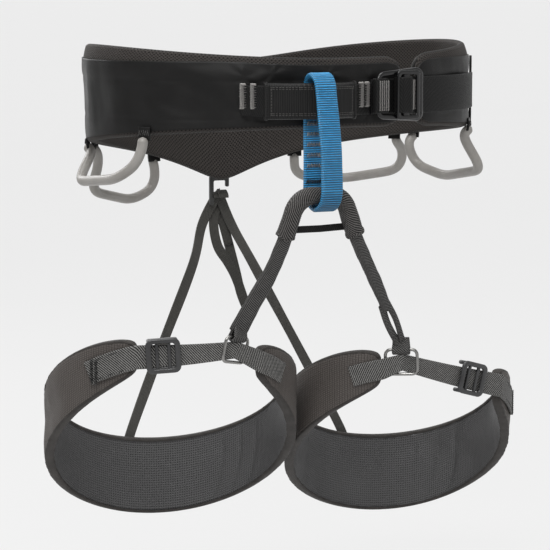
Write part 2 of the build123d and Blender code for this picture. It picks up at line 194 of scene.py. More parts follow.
def grid_parts(P, U, close_v=False, close_u=False, caps=False):
    """Quads over a grid of points; U holds the flat coordinates, one more column if closed."""
    nu, nv = P.shape[:2]
    faces, uvs = [], []
    for i in range(nu if close_u else nu - 1):
        for j in range(nv if close_v else nv - 1):
            i2, j2 = (i + 1) % nu, (j + 1) % nv
            faces.append((i * nv + j, i * nv + j2, i2 * nv + j2, i2 * nv + j))
            uvs += [U[i, j], U[i, j + 1], U[i + 1, j + 1], U[i + 1, j]]
    if caps:
        faces.append(tuple(range(nv - 1, -1, -1)))
        uvs += [U[0, j] for j in range(nv - 1, -1, -1)]
        faces.append(tuple((nu - 1) * nv + j for j in range(nv)))
        uvs += [U[nu - 1, j] for j in range(nv)]
    return P.reshape(-1, 3), faces, uvs


def joined(name, parts, material):
    verts, faces, uvs, count = [], [], [], 0
    for P, F, U in parts:
        verts.append(P)
        faces += [tuple(k + count for k in f) for f in F]
        uvs += list(U)
        count += len(P)
    return piece(name, np.vstack(verts), faces, uvs, material)


def band_profile(thick, width, face_points=7, edge_points=4):
    """Cross-section of a strap as unit pairs (across, through) with rounded edges."""
    share = min(0.5, thick / width / 2)
    out = [(s, 1.0) for s in np.linspace(-1 + 2 * share, 1 - 2 * share, face_points)]
    for a in np.linspace(80, -80, edge_points * 2):
        r = math.radians(a)
        out.append((1 - 2 * share + 2 * share * math.cos(r), math.sin(r)))
    out += [(s, -1.0) for s in np.linspace(1 - 2 * share, -1 + 2 * share, face_points)]
    for a in np.linspace(-100, -260, edge_points * 2):
        r = math.radians(a)
        out.append((-1 + 2 * share + 2 * share * math.cos(r), math.sin(r)))
    return np.array(out)


def strap_parts(path, across, through, width, thick, rib=None, caps=True, closed=False,
                face_points=7, selvedge=0.0):
    """A woven strap along a path.  rib = (pitch, depth, lean) makes real raised ribs."""
    n = len(path)
    width = np.broadcast_to(np.asarray(width, float), (n,))
    thick = np.broadcast_to(np.asarray(thick, float), (n,))
    profile = band_profile(thick.mean(), width.mean(), face_points)
    run = lengths(path)
    s, t = profile[:, 0][None, :], profile[:, 1][None, :]
    half_t = np.repeat((thick / 2)[:, None], len(profile), 1)
    if rib:
        pitch, depth, lean = rib
        flat_across = s * (width / 2)[:, None]
        wave = np.sin(2 * math.pi * (run[:, None] + lean * flat_across) / pitch)
        half_t = half_t + depth * wave * (0.4 + 0.6 * (1 - np.abs(s) ** 6))
    if selvedge:
        half_t = half_t + selvedge * np.exp(-((np.abs(s) - 0.9) / 0.08) ** 2)
    P = (path[:, None, :] + across[:, None, :] * (s * (width / 2)[:, None])[:, :, None]
         + through[:, None, :] * (t * half_t)[:, :, None])
    around = np.concatenate([[0], np.cumsum(np.hypot(
        np.diff(np.append(profile[:, 0], profile[0, 0])) * width.mean() / 2,
        np.diff(np.append(profile[:, 1], profile[0, 1])) * thick.mean() / 2))])
    U = np.stack(np.broadcast_arrays(run[:, None], around[None, :]), -1)
    if closed:
        return grid_parts(P[:-1], U, close_v=True, close_u=True)
    return grid_parts(P, U, close_v=True, caps=caps)


def tube_parts(path, radius, sides=14, caps=True, closed=False):
    """Round tube along a path."""
    t = tangents(path, closed)
    a = np.zeros_like(path)
    ref = vec(0, 0, 1) if abs(t[0] @ UP) < 0.9 else vec(1, 0, 0)
    a[0] = unit(np.cross(t[0], ref))
    for i in range(1, len(path)):
        a[i] = unit(a[i - 1] - t[i] * (a[i - 1] @ t[i]))
    b = unit(np.cross(t, a))
    angle = np.linspace(0, 2 * math.pi, sides, endpoint=False)
    radius = np.broadcast_to(np.asarray(radius, float), (len(path),))
    P = path[:, None, :] + radius[:, None, None] * (
        a[:, None, :] * np.cos(angle)[None, :, None] + b[:, None, :] * np.sin(angle)[None, :, None])
    run = lengths(path)
    around = np.linspace(0, 2 * math.pi * radius.mean(), sides + 1)
    U = np.stack(np.broadcast_arrays(run[:, None], around[None, :]), -1)
    if closed:
        return grid_parts(P[:-1], U, close_v=True, close_u=True)
    return grid_parts(P, U, close_v=True, caps=caps)


def slab_parts(outline, place, low, high, bevel, hole=None):
    """Plate cut from an outline (and one hole with as many points), edges rolled over.
    place = (origin, x, y, z)."""
    origin, x, y, z = place

    def inset(line, amount):
        centre = line.mean(0)
        t = unit(np.roll(line, -1, 0) - np.roll(line, 1, 0))
        n = np.stack([t[:, 1], -t[:, 0]], 1)
        if ((line - centre) * n).sum() > 0:
            n = -n
        return line + n * amount

    steps = [(bevel, low), (bevel * 0.3, low + bevel * 0.3), (0, low + bevel),
             (0, high - bevel), (bevel * 0.3, high - bevel * 0.3), (bevel, high)]
    outer = [(inset(outline, d), h) for d, h in steps]
    if hole is not None:
        inner = [(inset(hole, -d), h) for d, h in reversed(steps)]
        rows = outer + inner
    else:
        rows = outer
    P = np.stack([origin + l[:, :1] * x + l[:, 1:] * y + h * z for l, h in rows])
    U = np.stack([np.vstack([l, l[:1]]) for l, h in rows])
    if hole is not None:
        U = np.concatenate([U, U[:1]], 0)
        return grid_parts(P, U, close_v=True, close_u=True)
    return grid_parts(P, U, close_v=True, caps=True)


def rounded_rect(width, height, radius, count=8):
    corners = []
    for cx, cy, start in ((1, 1, 0), (-1, 1, 90), (-1, -1, 180), (1, -1, 270)):
        for a in np.linspace(start, start + 90, count):
            r = math.radians(a)
            corners.append((cx * (width / 2 - radius) + radius * math.cos(r),
                            cy * (height / 2 - radius) + radius * math.sin(r)))
    return np.array(corners)


def zigzag_parts(origin, along, across, lift, length, width, pitch, radius):
    """One bar tack: a tight zigzag of thread, width across and length along."""
    count = int(length / pitch)
    rng = random.Random(round(origin[0] * 7 + origin[2] * 13))
    points = []
    for k in range(count + 1):
        side = 0.5 if k % 2 else -0.5
        here = origin + along * (-length / 2 + length * k / count) + across * (
            side * width * (1 + rng.uniform(-0.12, 0.12)))
        points.append(here + lift * (0.15 * (k % 3)))
    return tube_parts(np.array(points), radius, sides=6)


# ---------------------------------------------------------------- materials
class Look:
    """A node material built step by step.  Flat coordinates (UV) are millimetres."""

    def __init__(self, name):
        self.material = bpy.data.materials.new(name)
        self.material.use_nodes = True
        self.tree = self.material.node_tree
        self.tree.nodes.clear()
        self.out = self.tree.nodes.new("ShaderNodeOutputMaterial")
        self.bsdf = self.tree.nodes.new("ShaderNodeBsdfPrincipled")
        self.tree.links.new(self.bsdf.outputs[0], self.out.inputs[0])
        self.flat = self.tree.nodes.new("ShaderNodeUVMap")
        self.flat.uv_map = "UVMap"
        split = self.tree.nodes.new("ShaderNodeSeparateXYZ")
        self.tree.links.new(self.flat.outputs[0], split.inputs[0])
        self.u, self.v = split.outputs[0], split.outputs[1]
        self.place = self.tree.nodes.new("ShaderNodeTexCoord").outputs["Object"]

    def put(self, socket, value):
        if isinstance(value, bpy.types.NodeSocket):
            self.tree.links.new(value, socket)
        elif isinstance(value, tuple) and len(value) == 3 and len(socket.default_value) == 4:
            socket.default_value = (*value, 1.0)
        else:
            socket.default_value = value

    def math(self, kind, a, b=0.0, c=0.0):
        node = self.tree.nodes.new("ShaderNodeMath")
        node.operation = kind
        for socket, value in zip(node.inputs, (a, b, c)):
            self.put(socket, value)
        return node.outputs[0]

    def wave(self, coord, pitch, shift=0.0):
        """0 to 1 and back each pitch."""
        turned = self.math("MULTIPLY_ADD", coord, 2 * math.pi / pitch, shift)
        return self.math("MULTIPLY_ADD", self.math("SINE", turned), 0.5, 0.5)

    def combine(self, a, ka, b, kb):
        return self.math("ADD", self.math("MULTIPLY", a, ka), self.math("MULTIPLY", b, kb))

    def noise(self, scale, detail=3.0, vector=None, roughness=0.55):
        node = self.tree.nodes.new("ShaderNodeTexNoise")
        self.put(node.inputs["Vector"], vector or self.place)
        node.inputs["Scale"].default_value = scale
        node.inputs["Detail"].default_value = detail
        node.inputs["Roughness"].default_value = roughness
        return node.outputs["Fac"]

    def cells(self, scale, kind="F1", randomness=0.0):
        node = self.tree.nodes.new("ShaderNodeTexVoronoi")
        node.feature = kind
        self.put(node.inputs["Vector"], self.flat.outputs[0])
        node.inputs["Scale"].default_value = scale
        node.inputs["Randomness"].default_value = randomness
        return node.outputs["Distance"]

    def ramp(self, value, low, high, to_low=0.0, to_high=1.0):
        node = self.tree.nodes.new("ShaderNodeMapRange")
        node.interpolation_type = "SMOOTHSTEP"
        for socket, v in zip(node.inputs, (value, low, high, to_low, to_high)):
            self.put(socket, v)
        return node.outputs[0]

    def mix(self, share, a, b):
        node = self.tree.nodes.new("ShaderNodeMix")
        node.data_type = "RGBA"
        self.put(node.inputs[0], share)
        self.put(node.inputs[6], a)
        self.put(node.inputs[7], b)
        return node.outputs[2]

    def bump(self, height, distance, strength=1.0):
        node = self.tree.nodes.new("ShaderNodeBump")
        node.inputs["Distance"].default_value = distance * MM
        node.inputs["Strength"].default_value = strength
        self.put(node.inputs["Height"], height)
        self.tree.links.new(node.outputs[0], self.bsdf.inputs["Normal"])

    def done(self, colour, rough, sheen=0.0, metal=0.0, coat=0.0, tint=(1, 1, 1), specular=0.5):
        self.put(self.bsdf.inputs["Base Color"], colour)
        self.put(self.bsdf.inputs["Roughness"], rough)
        self.bsdf.inputs["Metallic"].default_value = metal
        self.bsdf.inputs["Sheen Weight"].default_value = sheen
        self.bsdf.inputs["Sheen Roughness"].default_value = 0.35
        self.bsdf.inputs["Sheen Tint"].default_value = (*tint, 1)
        self.bsdf.inputs["Coat Weight"].default_value = coat
        self.bsdf.inputs["Specular IOR Level"].default_value = specular
        return self.material


def shell_look():
    m = Look("belt_shell_fabric")
    warp, weft = m.wave(m.math("ADD", m.u, m.v), 1.5), m.wave(m.math("SUBTRACT", m.u, m.v), 1.5, 1.3)
    weave = m.math("MULTIPLY", warp, weft)
    broad = m.noise(38.0, 4.0)
    colour = m.mix(m.ramp(broad, 0.3, 0.75), (0.0045, 0.0043, 0.0043), (0.009, 0.0088, 0.0086))
    colour = m.mix(m.math("MULTIPLY", weave, 0.7), colour, (0.030, 0.0295, 0.029))
    m.bump(m.combine(weave, 0.7, m.noise(700.0), 0.5), 0.14, 0.8)
    return m.done(colour, m.ramp(broad, 0.2, 0.8, 0.34, 0.46), sheen=0.0, specular=0.16)


def lining_look():
    m = Look("belt_lining_knit")
    lean_a = m.math("ADD", m.u, m.v)
    lean_b = m.math("SUBTRACT", m.u, m.v)
    knit = m.math("MULTIPLY", m.wave(lean_a, 2.9), m.wave(lean_b, 2.9, 0.7))
    holes = m.ramp(knit, 0.12, 0.6)
    colour = m.mix(holes, (0.040, 0.035, 0.032), (0.003, 0.0027, 0.0025))
    colour = m.mix(m.math("MULTIPLY", m.noise(300.0), 0.2), colour, (0.03, 0.027, 0.025))
    m.bump(m.combine(knit, -1.0, m.noise(900.0), 0.25), 0.45, 0.9)
    return m.done(colour, 0.72, sheen=0.03, tint=(0.9, 0.85, 0.8), specular=0.2)


def leg_shell_look():
    m = Look("leg_shell_ripstop")
    line_u = m.ramp(m.wave(m.u, 2.35), 0.80, 0.97)
    line_v = m.ramp(m.wave(m.v, 2.35, 0.9), 0.80, 0.97)
    lines = m.math("MAXIMUM", line_u, line_v)
    fine = m.math("MULTIPLY", m.wave(m.u, 0.58), m.wave(m.v, 0.58))
    colour = m.mix(lines, (0.115, 0.102, 0.094), (0.040, 0.034, 0.030))
    colour = m.mix(m.math("MULTIPLY", m.noise(60.0), 0.4), colour, (0.06, 0.053, 0.049))
    m.bump(m.combine(lines, 0.8, fine, 0.4), 0.16, 0.8)
    return m.done(colour, 0.6, sheen=0.03, specular=0.25)


def leg_lining_look():
    m = Look("leg_lining_mesh")
    dots = m.ramp(m.cells(0.52), 0.18, 0.36)
    second = m.wave(m.math("ADD", m.u, m.v), 0.9)
    colour = m.mix(dots, (0.010, 0.010, 0.010), (0.078, 0.077, 0.078))
    colour = m.mix(m.math("MULTIPLY", m.noise(26.0, 5.0), 0.35), colour, (0.055, 0.054, 0.055))
    m.bump(m.combine(dots, 1.0, second, 0.22), 0.40, 0.8)
    return m.done(colour, m.ramp(m.noise(22.0), 0.3, 0.7, 0.34, 0.48), sheen=0.04, specular=0.5)


def tape_look(name, dark, light, pitch=0.9):
    m = Look(name)
    ribs = m.wave(m.u, pitch)
    colour = m.mix(m.math("MULTIPLY", ribs, m.ramp(m.noise(120.0), 0.2, 0.8)), dark, light)
    m.bump(m.combine(ribs, 1.0, m.noise(800.0), 0.4), 0.16, 0.8)
    return m.done(colour, 0.62, sheen=0.03, specular=0.25)


def blue_look():
    m = Look("belay_loop_blue")
    ribs = m.wave(m.u, 1.7)
    yarn = m.wave(m.math("MULTIPLY_ADD", m.v, 1.0, m.math("MULTIPLY", m.wave(m.u, 1.7), 0.25)), 0.72)
    edge = m.ramp(m.noise(240.0, 2.0), 0.35, 0.7)
    # painted shade: the gaps between the ribs go near black, the shade of the grooves painted into the blue;
    # the ribs are also raised as real bumps
    colour = m.mix(m.ramp(ribs, 0.25, 0.8), (0.001, 0.012, 0.036), (0.016, 0.29, 0.62))
    # painted highlight: lighter blue streaks along the yarns, laid over their bump
    colour = m.mix(m.math("MULTIPLY", yarn, 0.22), colour, (0.12, 0.50, 0.80))
    colour = m.mix(m.math("MULTIPLY", edge, 0.25), colour, (0.008, 0.07, 0.16))
    m.bump(m.combine(ribs, 1.0, yarn, 0.5), 0.22, 0.8)
    return m.done(colour, 0.32, sheen=0.03, specular=0.5, tint=(0.7, 0.85, 1.0))


def diagonal_look(name, dark, light, pitch=1.6, lean=0.8, rough=0.5):
    m = Look(name)
    slant = m.math("MULTIPLY_ADD", m.v, lean, m.u)
    ribs = m.wave(slant, pitch)
    yarn = m.wave(m.math("MULTIPLY_ADD", m.v, -lean, m.u), 0.55)
    colour = m.mix(m.ramp(ribs, 0.25, 0.85), dark, light)
    colour = m.mix(m.math("MULTIPLY", m.noise(220.0), 0.4), colour, dark)
    m.bump(m.combine(ribs, 1.0, yarn, 0.35), 0.22, 0.9)
    return m.done(colour, rough, sheen=0.0, specular=0.18)


def thread_look(name="grey_thread", colour_a=(0.13, 0.125, 0.12), colour_b=(0.52, 0.50, 0.48)):
    m = Look(name)
    twist = m.wave(m.math("MULTIPLY_ADD", m.v, 1.2, m.u), 0.5)
    m.bump(twist, 0.1, 0.8)
    return m.done(m.mix(twist, colour_a, colour_b), 0.5, sheen=0.05)


def plastic_look(name, base, worn, rough, coat=0.0, grain=0.05, specular=0.5):
    m = Look(name)
    patch = m.noise(55.0, 5.0)
    colour = m.mix(m.ramp(patch, 0.3, 0.7), base, worn)
    m.bump(m.combine(m.noise(1800.0, 2.0), 1.0, m.noise(140.0), 0.6), grain, 0.5)
    return m.done(colour, m.ramp(patch, 0.25, 0.75, rough * 0.85, rough * 1.15), coat=coat, specular=specular)


def elastic_look():
    m = Look("elastic_webbing")
    rows = m.wave(m.v, 1.05)
    picks = m.wave(m.u, 0.8)
    colour = m.mix(rows, (0.030, 0.029, 0.026), (0.088, 0.085, 0.077))
    colour = m.mix(m.math("MULTIPLY", picks, 0.3), colour, (0.06, 0.058, 0.053))
    m.bump(m.combine(rows, 1.0, picks, 0.5), 0.2, 0.9)
    return m.done(colour, 0.6, sheen=0.04, specular=0.25)


def metal_look(name, base, rough, scratch=0.12):
    m = Look(name)
    streak = m.noise(900.0, 4.0)
    worn = m.noise(90.0, 3.0)
    m.bump(m.combine(streak, 1.0, worn, 0.4), scratch * 0.1, 0.4)
    return m.done(m.mix(m.ramp(worn, 0.3, 0.8), base, tuple(c * 0.75 for c in base)),
                  m.ramp(streak, 0.3, 0.7, rough * 0.8, rough * 1.2), metal=1.0)


LOOK = {
    "shell": shell_look(),
    "lining": lining_look(),
    "leg_shell": leg_shell_look(),
    "leg_lining": leg_lining_look(),
    "tape": tape_look("edge_tape", (0.012, 0.0115, 0.011), (0.034, 0.032, 0.030)),
    "leg_tape": tape_look("leg_edge_tape", (0.030, 0.027, 0.025), (0.070, 0.063, 0.058)),
    "blue": blue_look(),
    "leg_web": diagonal_look("leg_webbing_weave", (0.016, 0.016, 0.0155), (0.270, 0.264, 0.255), 1.9),
    "bridge_web": diagonal_look("bridge_webbing", (0.012, 0.0118, 0.0115), (0.150, 0.146, 0.142), 1.5, 0.7),
    "sleeve_web": diagonal_look("bridge_sleeve_weave", (0.010, 0.0098, 0.0095), (0.160, 0.152, 0.146), 2.1,
                                1.0),
    "black_web": diagonal_look("black_webbing", (0.002, 0.002, 0.002), (0.013, 0.0128, 0.0125), 1.6, 0.5,
                               0.42),
    "thread": thread_look(),
    "mid_thread": thread_look("sleeve_thread", (0.035, 0.034, 0.033), (0.11, 0.105, 0.10)),
    "sleeve_cover": diagonal_look("sleeve_cover_weave", (0.006, 0.006, 0.006), (0.024, 0.0235, 0.023), 1.3,
                                  0.0, 0.36),
    "dark_thread": thread_look("dark_thread", (0.015, 0.015, 0.015), (0.05, 0.05, 0.05)),
    "gear": plastic_look("gear_loop_plastic", (0.235, 0.222, 0.205), (0.285, 0.272, 0.255), 0.38),
    "slider": plastic_look("slider_plastic", (0.026, 0.026, 0.027), (0.045, 0.045, 0.046), 0.36, grain=0.12),
    "hook": plastic_look("hook_plastic", (0.020, 0.020, 0.019), (0.034, 0.034, 0.033), 0.45, grain=0.1),
    "buckle": plastic_look("buckle_gloss_black", (0.003, 0.003, 0.0032), (0.006, 0.006, 0.0065), 0.16,
                           coat=0.15, grain=0.02, specular=0.4),
    "ring": metal_look("ring_steel", (0.30, 0.295, 0.285), 0.30),
    "elastic": elastic_look(),
}

# ---------------------------------------------------------------- the belt
BELT_A = 158.5     # half width of the belt's outer face
BELT_B = 115.0     # half depth of it
LEAN = 0.03
BELT_START, BELT_END = -64.5, 290.5
PAD_T = 9.8
SHOULDER = 3.2     # how far the pad's upper edge rolls back


def belt_normal(a):
    c, s = np.cos(np.radians(a)), np.sin(np.radians(a))
    return unit(np.stack([c / BELT_A, s / BELT_B, 0 * c], -1))


def belt_point(a, off=0.0, height=0.0):
    a = np.asarray(a, float)
    height = np.asarray(height, float)
    c, s = np.cos(np.radians(a)), np.sin(np.radians(a))
    out = off + LEAN * (1 - c) * height - 2.8 * np.exp(-((a - 180) / 38) ** 2)
    base = np.stack([BELT_A * c, BELT_B * s, height + 0 * c], -1)
    return base + belt_normal(a) * np.asarray(out)[..., None]


def from_rear(a):
    return np.abs((a - 90 + 180) % 360 - 180)


def pad_top(a):
    s = from_rear(a)
    return 30.5 + 9 * np.sin(np.radians(s)) ** 2 - 9 * np.exp(-(s / 28) ** 2)


def pad_bottom(a):
    s = from_rear(a)
    return -21 - 11 * (1 + np.cos(np.radians(s))) - 42 * np.exp(-np.hypot(s, 5) / 21)


def shell_top(a):
    return 28.5 - 9 * np.exp(-(from_rear(a) / 28) ** 2)


def end_share(a, first, last, reach, least):
    gap = np.clip(np.minimum(a - first, last - a) / reach, 0, 1)
    return least + (1 - least) * np.sqrt(np.clip(1 - (1 - gap) ** 2, 0, 1))


PUFF_LIMIT = 2.4   # how far the simulation may move a point


def soften(P, pins, pressure, smooth):
    """Cloth simulation of a closed pad skin: pinned along its seams, filled by its foam."""
    nu, nv = P.shape[:2]
    verts, faces, _ = grid_parts(P, np.zeros((nu, nv + 1, 2)), close_v=True)
    obj = piece("pad_skin", verts, faces, [(0, 0)] * sum(len(f) for f in faces), LOOK["shell"])
    group = obj.vertex_groups.new(name="seams")
    for k, weight in enumerate(pins.reshape(-1)):
        group.add([k], float(weight), "REPLACE")
    mod = obj.modifiers.new("soft", "CLOTH")
    cloth = mod.settings
    cloth.quality = 5
    cloth.mass = 0.25
    cloth.tension_stiffness = cloth.compression_stiffness = 12
    cloth.shear_stiffness = 4
    cloth.bending_stiffness = 0.6
    cloth.use_pressure = True
    cloth.uniform_pressure_force = pressure
    cloth.shrink_min = -0.02
    cloth.vertex_group_mass = "seams"
    cloth.pin_stiffness = 3.0
    cloth.effector_weights.gravity = 0.0
    mod.collision_settings.use_collision = False
    mod.point_cache.frame_start, mod.point_cache.frame_end = 1, 20
    scene = bpy.context.scene
    scene.frame_start, scene.frame_end = 1, 20
    for frame_number in range(1, 21):
        scene.frame_set(frame_number)
        bpy.context.view_layer.update()
    settled = obj.evaluated_get(bpy.context.evaluated_depsgraph_get())
    moved = np.array([v.co for v in settled.data.vertices]).reshape(nu, nv, 3) / MM
    bpy.data.objects.remove(obj)
    scene.frame_set(1)
    shift = moved - P
    for _ in range(smooth):
        shift[1:-1] = (shift[:-2] + 2 * shift[1:-1] + shift[2:]) / 4
        shift = (np.roll(shift, 1, 1) + 2 * shift + np.roll(shift, -1, 1)) / 4
    size = np.linalg.norm(shift, axis=-1, keepdims=True)
    return P + shift * np.minimum(1.0, PUFF_LIMIT / np.maximum(size, 1e-6))


def finer(P, times_u, times_v):
    """Smooth subdivision of an open grid."""
    def along(A, times):
        n = A.shape[0]
        ext = np.concatenate([2 * A[:1] - A[1:2], A, 2 * A[-1:] - A[-2:-1]], 0)
        at = np.linspace(0, n - 1, (n - 1) * times + 1)
        i = np.clip(at.astype(int), 0, n - 2)
        t = (at - i).reshape((-1,) + (1,) * (A.ndim - 1))
        p0, p1, p2, p3 = ext[i], ext[i + 1], ext[i + 2], ext[i + 3]
        return 0.5 * (2 * p1 + (p2 - p0) * t + (2 * p0 - 5 * p1 + 4 * p2 - p3) * t * t
                      + (3 * p1 - p0 - 3 * p2 + p3) * t ** 3)
    P = along(P, times_u)
    return np.swapaxes(along(np.swapaxes(P, 0, 1), times_v), 0, 1)


def flat_coords(P):
    """Millimetres along and across a grid, measured on its middle lines."""
    mid = P[:, P.shape[1] // 2]
    run = lengths(mid)
    side = lengths(P[P.shape[0] // 2])
    return np.stack(np.broadcast_arrays(run[:, None], side[None, :]), -1).astype(float)


def grid_normals(P):
    du = np.gradient(P, axis=0)
    dv = np.gradient(P, axis=1)
    return unit(np.cross(du, dv))


def thick_sheet(name, P, thickness, material):
    """A sheet with real thickness: P is its seen face, the back lies behind the normals."""
    U = flat_coords(P)
    N = grid_normals(P)
    loop = np.concatenate([P, (P - N * thickness)[:, ::-1]], 1)
    width = U[0, -1, 1]
    V = np.concatenate([U[..., 1], width + thickness + (width - U[:, ::-1, 1]),
                        U[:, :1, 1] + 2 * width + 2 * thickness], 1)
    UU = np.stack([np.repeat(U[:, :1, 0], V.shape[1], 1), V], -1)
    return joined(name, [grid_parts(loop, UU, close_v=True, caps=True)], material)


# Pad of the belt: outer face, rolled edges and inner face as one closed skin.
belt_a = np.linspace(BELT_START, BELT_END, 171)
FACE_ROWS, EDGE_ROWS = 12, 3


def pad_skin(point, top, bottom, thickness, angles, shoulder=0.0, sunk=0.0, face_rows=FACE_ROWS):
    """Closed skin of a pad; rows go up the outer face, over the edge and down the inner one."""
    rows, pins = [], []
    rise = thickness * 0.3
    tall = top - bottom - 2 * rise
    half = (thickness - shoulder - sunk) / 2
    for k in range(face_rows + 1):
        share = k / face_rows
        tuck = sunk + shoulder * max(0.0, (share - 0.72) / 0.28) ** 2
        rows.append(point(angles, -tuck, bottom + rise + tall * share))
        pins.append(1.0 if k in (0, face_rows) else 0.0)
    for k in range(1, EDGE_ROWS + 1):
        a = math.pi * k / (EDGE_ROWS + 1)
        rows.append(point(angles, half * math.cos(a) - thickness + half, top - rise + rise * math.sin(a)))
        pins.append(1.0)
    for k in range(face_rows + 1):
        share = 1 - k / face_rows
        rows.append(point(angles, -thickness, bottom + rise + tall * share))
        pins.append(1.0 if k in (0, face_rows) else 0.0)
    half = (thickness - sunk) / 2
    for k in range(1, EDGE_ROWS + 1):
        a = math.pi * k / (EDGE_ROWS + 1)
        rows.append(point(angles, -half * math.cos(a) - thickness + half, bottom + rise - rise * math.sin(a)))
        pins.append(1.0)
    P = np.stack(rows, 1)
    W = np.repeat(np.array(pins)[None, :], len(angles), 0)
    W[:2] = W[-2:] = 1.0
    return P, W


def belt_height_share(a):
    return end_share(a, BELT_START, BELT_END, 7.0, 0.5)


def belt_pad():
    middle = (pad_top(belt_a) + pad_bottom(belt_a)) / 2
    half = (pad_top(belt_a) - pad_bottom(belt_a)) / 2 * belt_height_share(belt_a)
    P, W = pad_skin(belt_point, middle + half, middle - half, PAD_T, belt_a, SHOULDER, 0.6)
    # the load webbing and everything sewn on the front holds the outer face down
    height = P[..., 2]
    for first, last in ((239, 246), (272.5, 280), (285, 338)):
        held = ((belt_a > first) & (belt_a < last))[:, None] & (np.abs(height) < 14)
        held &= np.arange(P.shape[1])[None, :] <= FACE_ROWS
        W[held] = np.maximum(W[held], 0.85)
    return P, W


def puckers(P, N, sources, reach, depth, count):
    """Small folds fanning out from where something is sewn on."""
    D = np.zeros(P.shape[:2])
    for source, seed in sources:
        d = P - np.asarray(source)
        r = np.linalg.norm(d, axis=-1)
        n0 = N[np.unravel_index(np.argmin(r), r.shape)]
        x = unit(np.cross(UP, n0))
        across = d @ x
        angle = np.arctan2(d[..., 2], across)
        fan = np.sin(count * angle + 1.7 * seed + 1.3 * np.sin(2 * angle + seed))
        D += depth * fan * np.exp(-((r - reach * 0.35) / reach) ** 2) * np.clip(r / (reach * 0.25), 0, 1)
    return D


def make_belt():
    P, W = belt_pad()
    P = soften(P, W, 4.0, 6)
    rows = FACE_ROWS + 1
    fine = finer(P[:, :rows], 4, 4)
    N = grid_normals(fine)
    fine_n = N if (N[len(N) // 2, 20] @ belt_normal(113.0)) > 0 else -N
    sources = [(belt_point(242.0, 0, 17), 1), (belt_point(242.0, 0, -8), 2), (belt_point(277.5, 0, 15), 3),
               (belt_point(278, 0, -9), 4), (belt_point(250, 0, 20), 5), (belt_point(266, 0, 20), 6),
               (belt_point(249, 0, -16), 7)]
    D = puckers(fine, fine_n, sources, 12.0, 0.5, 4)
    a = np.linspace(BELT_START, BELT_END, fine.shape[0])[:, None]
    h = fine[..., 2]
    # long soft folds where the load webbing runs inside, and a slack front
    edge_line = np.exp(-((np.abs(h) - 14.5) / 1.6) ** 2)
    D -= 0.35 * edge_line
    D += 0.55 * ripple(fine * vec(1, 1, 1.6), 26.0, 3.1)
    D += 0.16 * ripple(fine * vec(1, 1, 0.5), 7.0, 8.2)
    front = np.exp(-((a - 222) / 11) ** 2)
    D += 0.7 * front * np.sin((h + 0.9 * (a - 222)) / 3.4) * np.exp(-((h - 4) / 22) ** 2)
    seen = np.clip(np.minimum(np.arange(fine.shape[1]), fine.shape[1] - 1 - np.arange(fine.shape[1])) / 6, 0,
                   1)
    P_out = fine + fine_n * (D * seen[None, :])[..., None]

    # outer shell: from the bottom binding to its own rolled top edge
    cover_top = shell_top(a)[:, 0] * belt_height_share(a[:, 0])
    m = 46
    T = np.linspace(0, 1, m)
    shell = np.zeros((P_out.shape[0], m, 3))
    for i in range(P_out.shape[0]):
        z = P_out[i, :, 2]
        want = z[0] - 1.2 + (min(cover_top[i], z[-3]) - z[0] + 1.2) * T
        for k in range(3):
            shell[i, :, k] = np.interp(want, z, P_out[i, :, k])
    SN = grid_normals(shell)
    if (SN[len(SN) // 2, 20] @ belt_normal(113.0)) < 0:
        SN = -SN
    lift = 0.9 + 0.3 * np.exp(-((T - 1.0) / 0.03) ** 2)
    shell = shell + SN * lift[None, :, None]
    flip = shell[::-1]
    cover = thick_sheet("belt_shell",
                        flip if (grid_normals(flip)[len(flip) // 2, 20] @ belt_normal(113.0)) > 0 else shell,
                        1.0, LOOK["shell"])

    # lining: everything from just under the shell's top edge, over the rim, down the inner face
    over = finer(np.concatenate([P, P[:, :2]], 1), 4, 4)[:, (rows - 4) * 4:]
    ON = grid_normals(over)
    if (ON[len(ON) // 2, over.shape[1] * 3 // 4] @ belt_normal(113.0)) > 0:
        ON = -ON
    knit = 0.35 * ripple(over, 22.0, 5.5)
    over = over + ON * knit[..., None]
    if (grid_normals(over)[len(over) // 2, over.shape[1] * 3 // 4] @ belt_normal(113.0)) > 0:
        over = over[::-1]
    U = flat_coords(over)
    lining = joined("belt_lining", [grid_parts(over, U)], LOOK["lining"])
    return cover, lining


def tape_round(loop, outward, away, thick, reach):
    """Folded tape round a closed rim: a U-shaped section that grips the pad edge."""
    highest = np.argmax(loop[:, 2])
    away = away if away[highest][2] > 0 else -away
    angle = np.radians(np.linspace(-90, 90, 9))
    front = [(-reach, 1.0), (-reach * 0.5, 1.02)] + [(math.cos(a) * 1.4, math.sin(-a)) for a in angle] + \
            [(-reach * 0.5, -1.02), (-reach, -1.0)]
    back = [(x - 0.4 if abs(t) < 0.99 else x, t * (1 - 1.0 / thick)) for x, t in reversed(front)]
    profile = np.array(front + back)
    run = lengths(loop)
    pinch = 1 + 0.04 * np.sin(run / 2.9) + 0.03 * np.sin(run / 1.1)
    P = (loop[:, None, :] + away[:, None, :] * profile[None, :, 0, None]
         + outward[:, None, :] * (profile[None, :, 1, None] * thick / 2 * pinch[:, None, None]))
    U = np.stack(np.broadcast_arrays(run[:, None], np.linspace(0, 2 * thick, len(profile) + 1)[None, :]), -1)
    return grid_parts(P[:-1], U, close_v=True, close_u=True)


belt_cover, belt_lining = make_belt()
fine = np.linspace(BELT_START, BELT_END, 800)
middle = (pad_top(fine) + pad_bottom(fine)) / 2
tall = (pad_top(fine) - pad_bottom(fine)) / 2 * belt_height_share(fine) - 1.0
loop = np.vstack([belt_point(fine, -(PAD_T + SHOULDER) / 2, middle + tall),
                  belt_point(fine, -PAD_T / 2, middle - tall)[::-1]])
loop = resample(np.vstack([loop, loop[:1]]), 1.5)
belt_tape = joined("belt_rim_tape", [tube_parts(loop[:-1], 1.3, sides=10, closed=True)], LOOK["tape"])


# ---------------------------------------------------------------- tie-in strap, sleeve, tacks
TIE_START, TIE_END = 241.0, 277.5
SLEEVE_START, SLEEVE_END = 247.2, 272.3


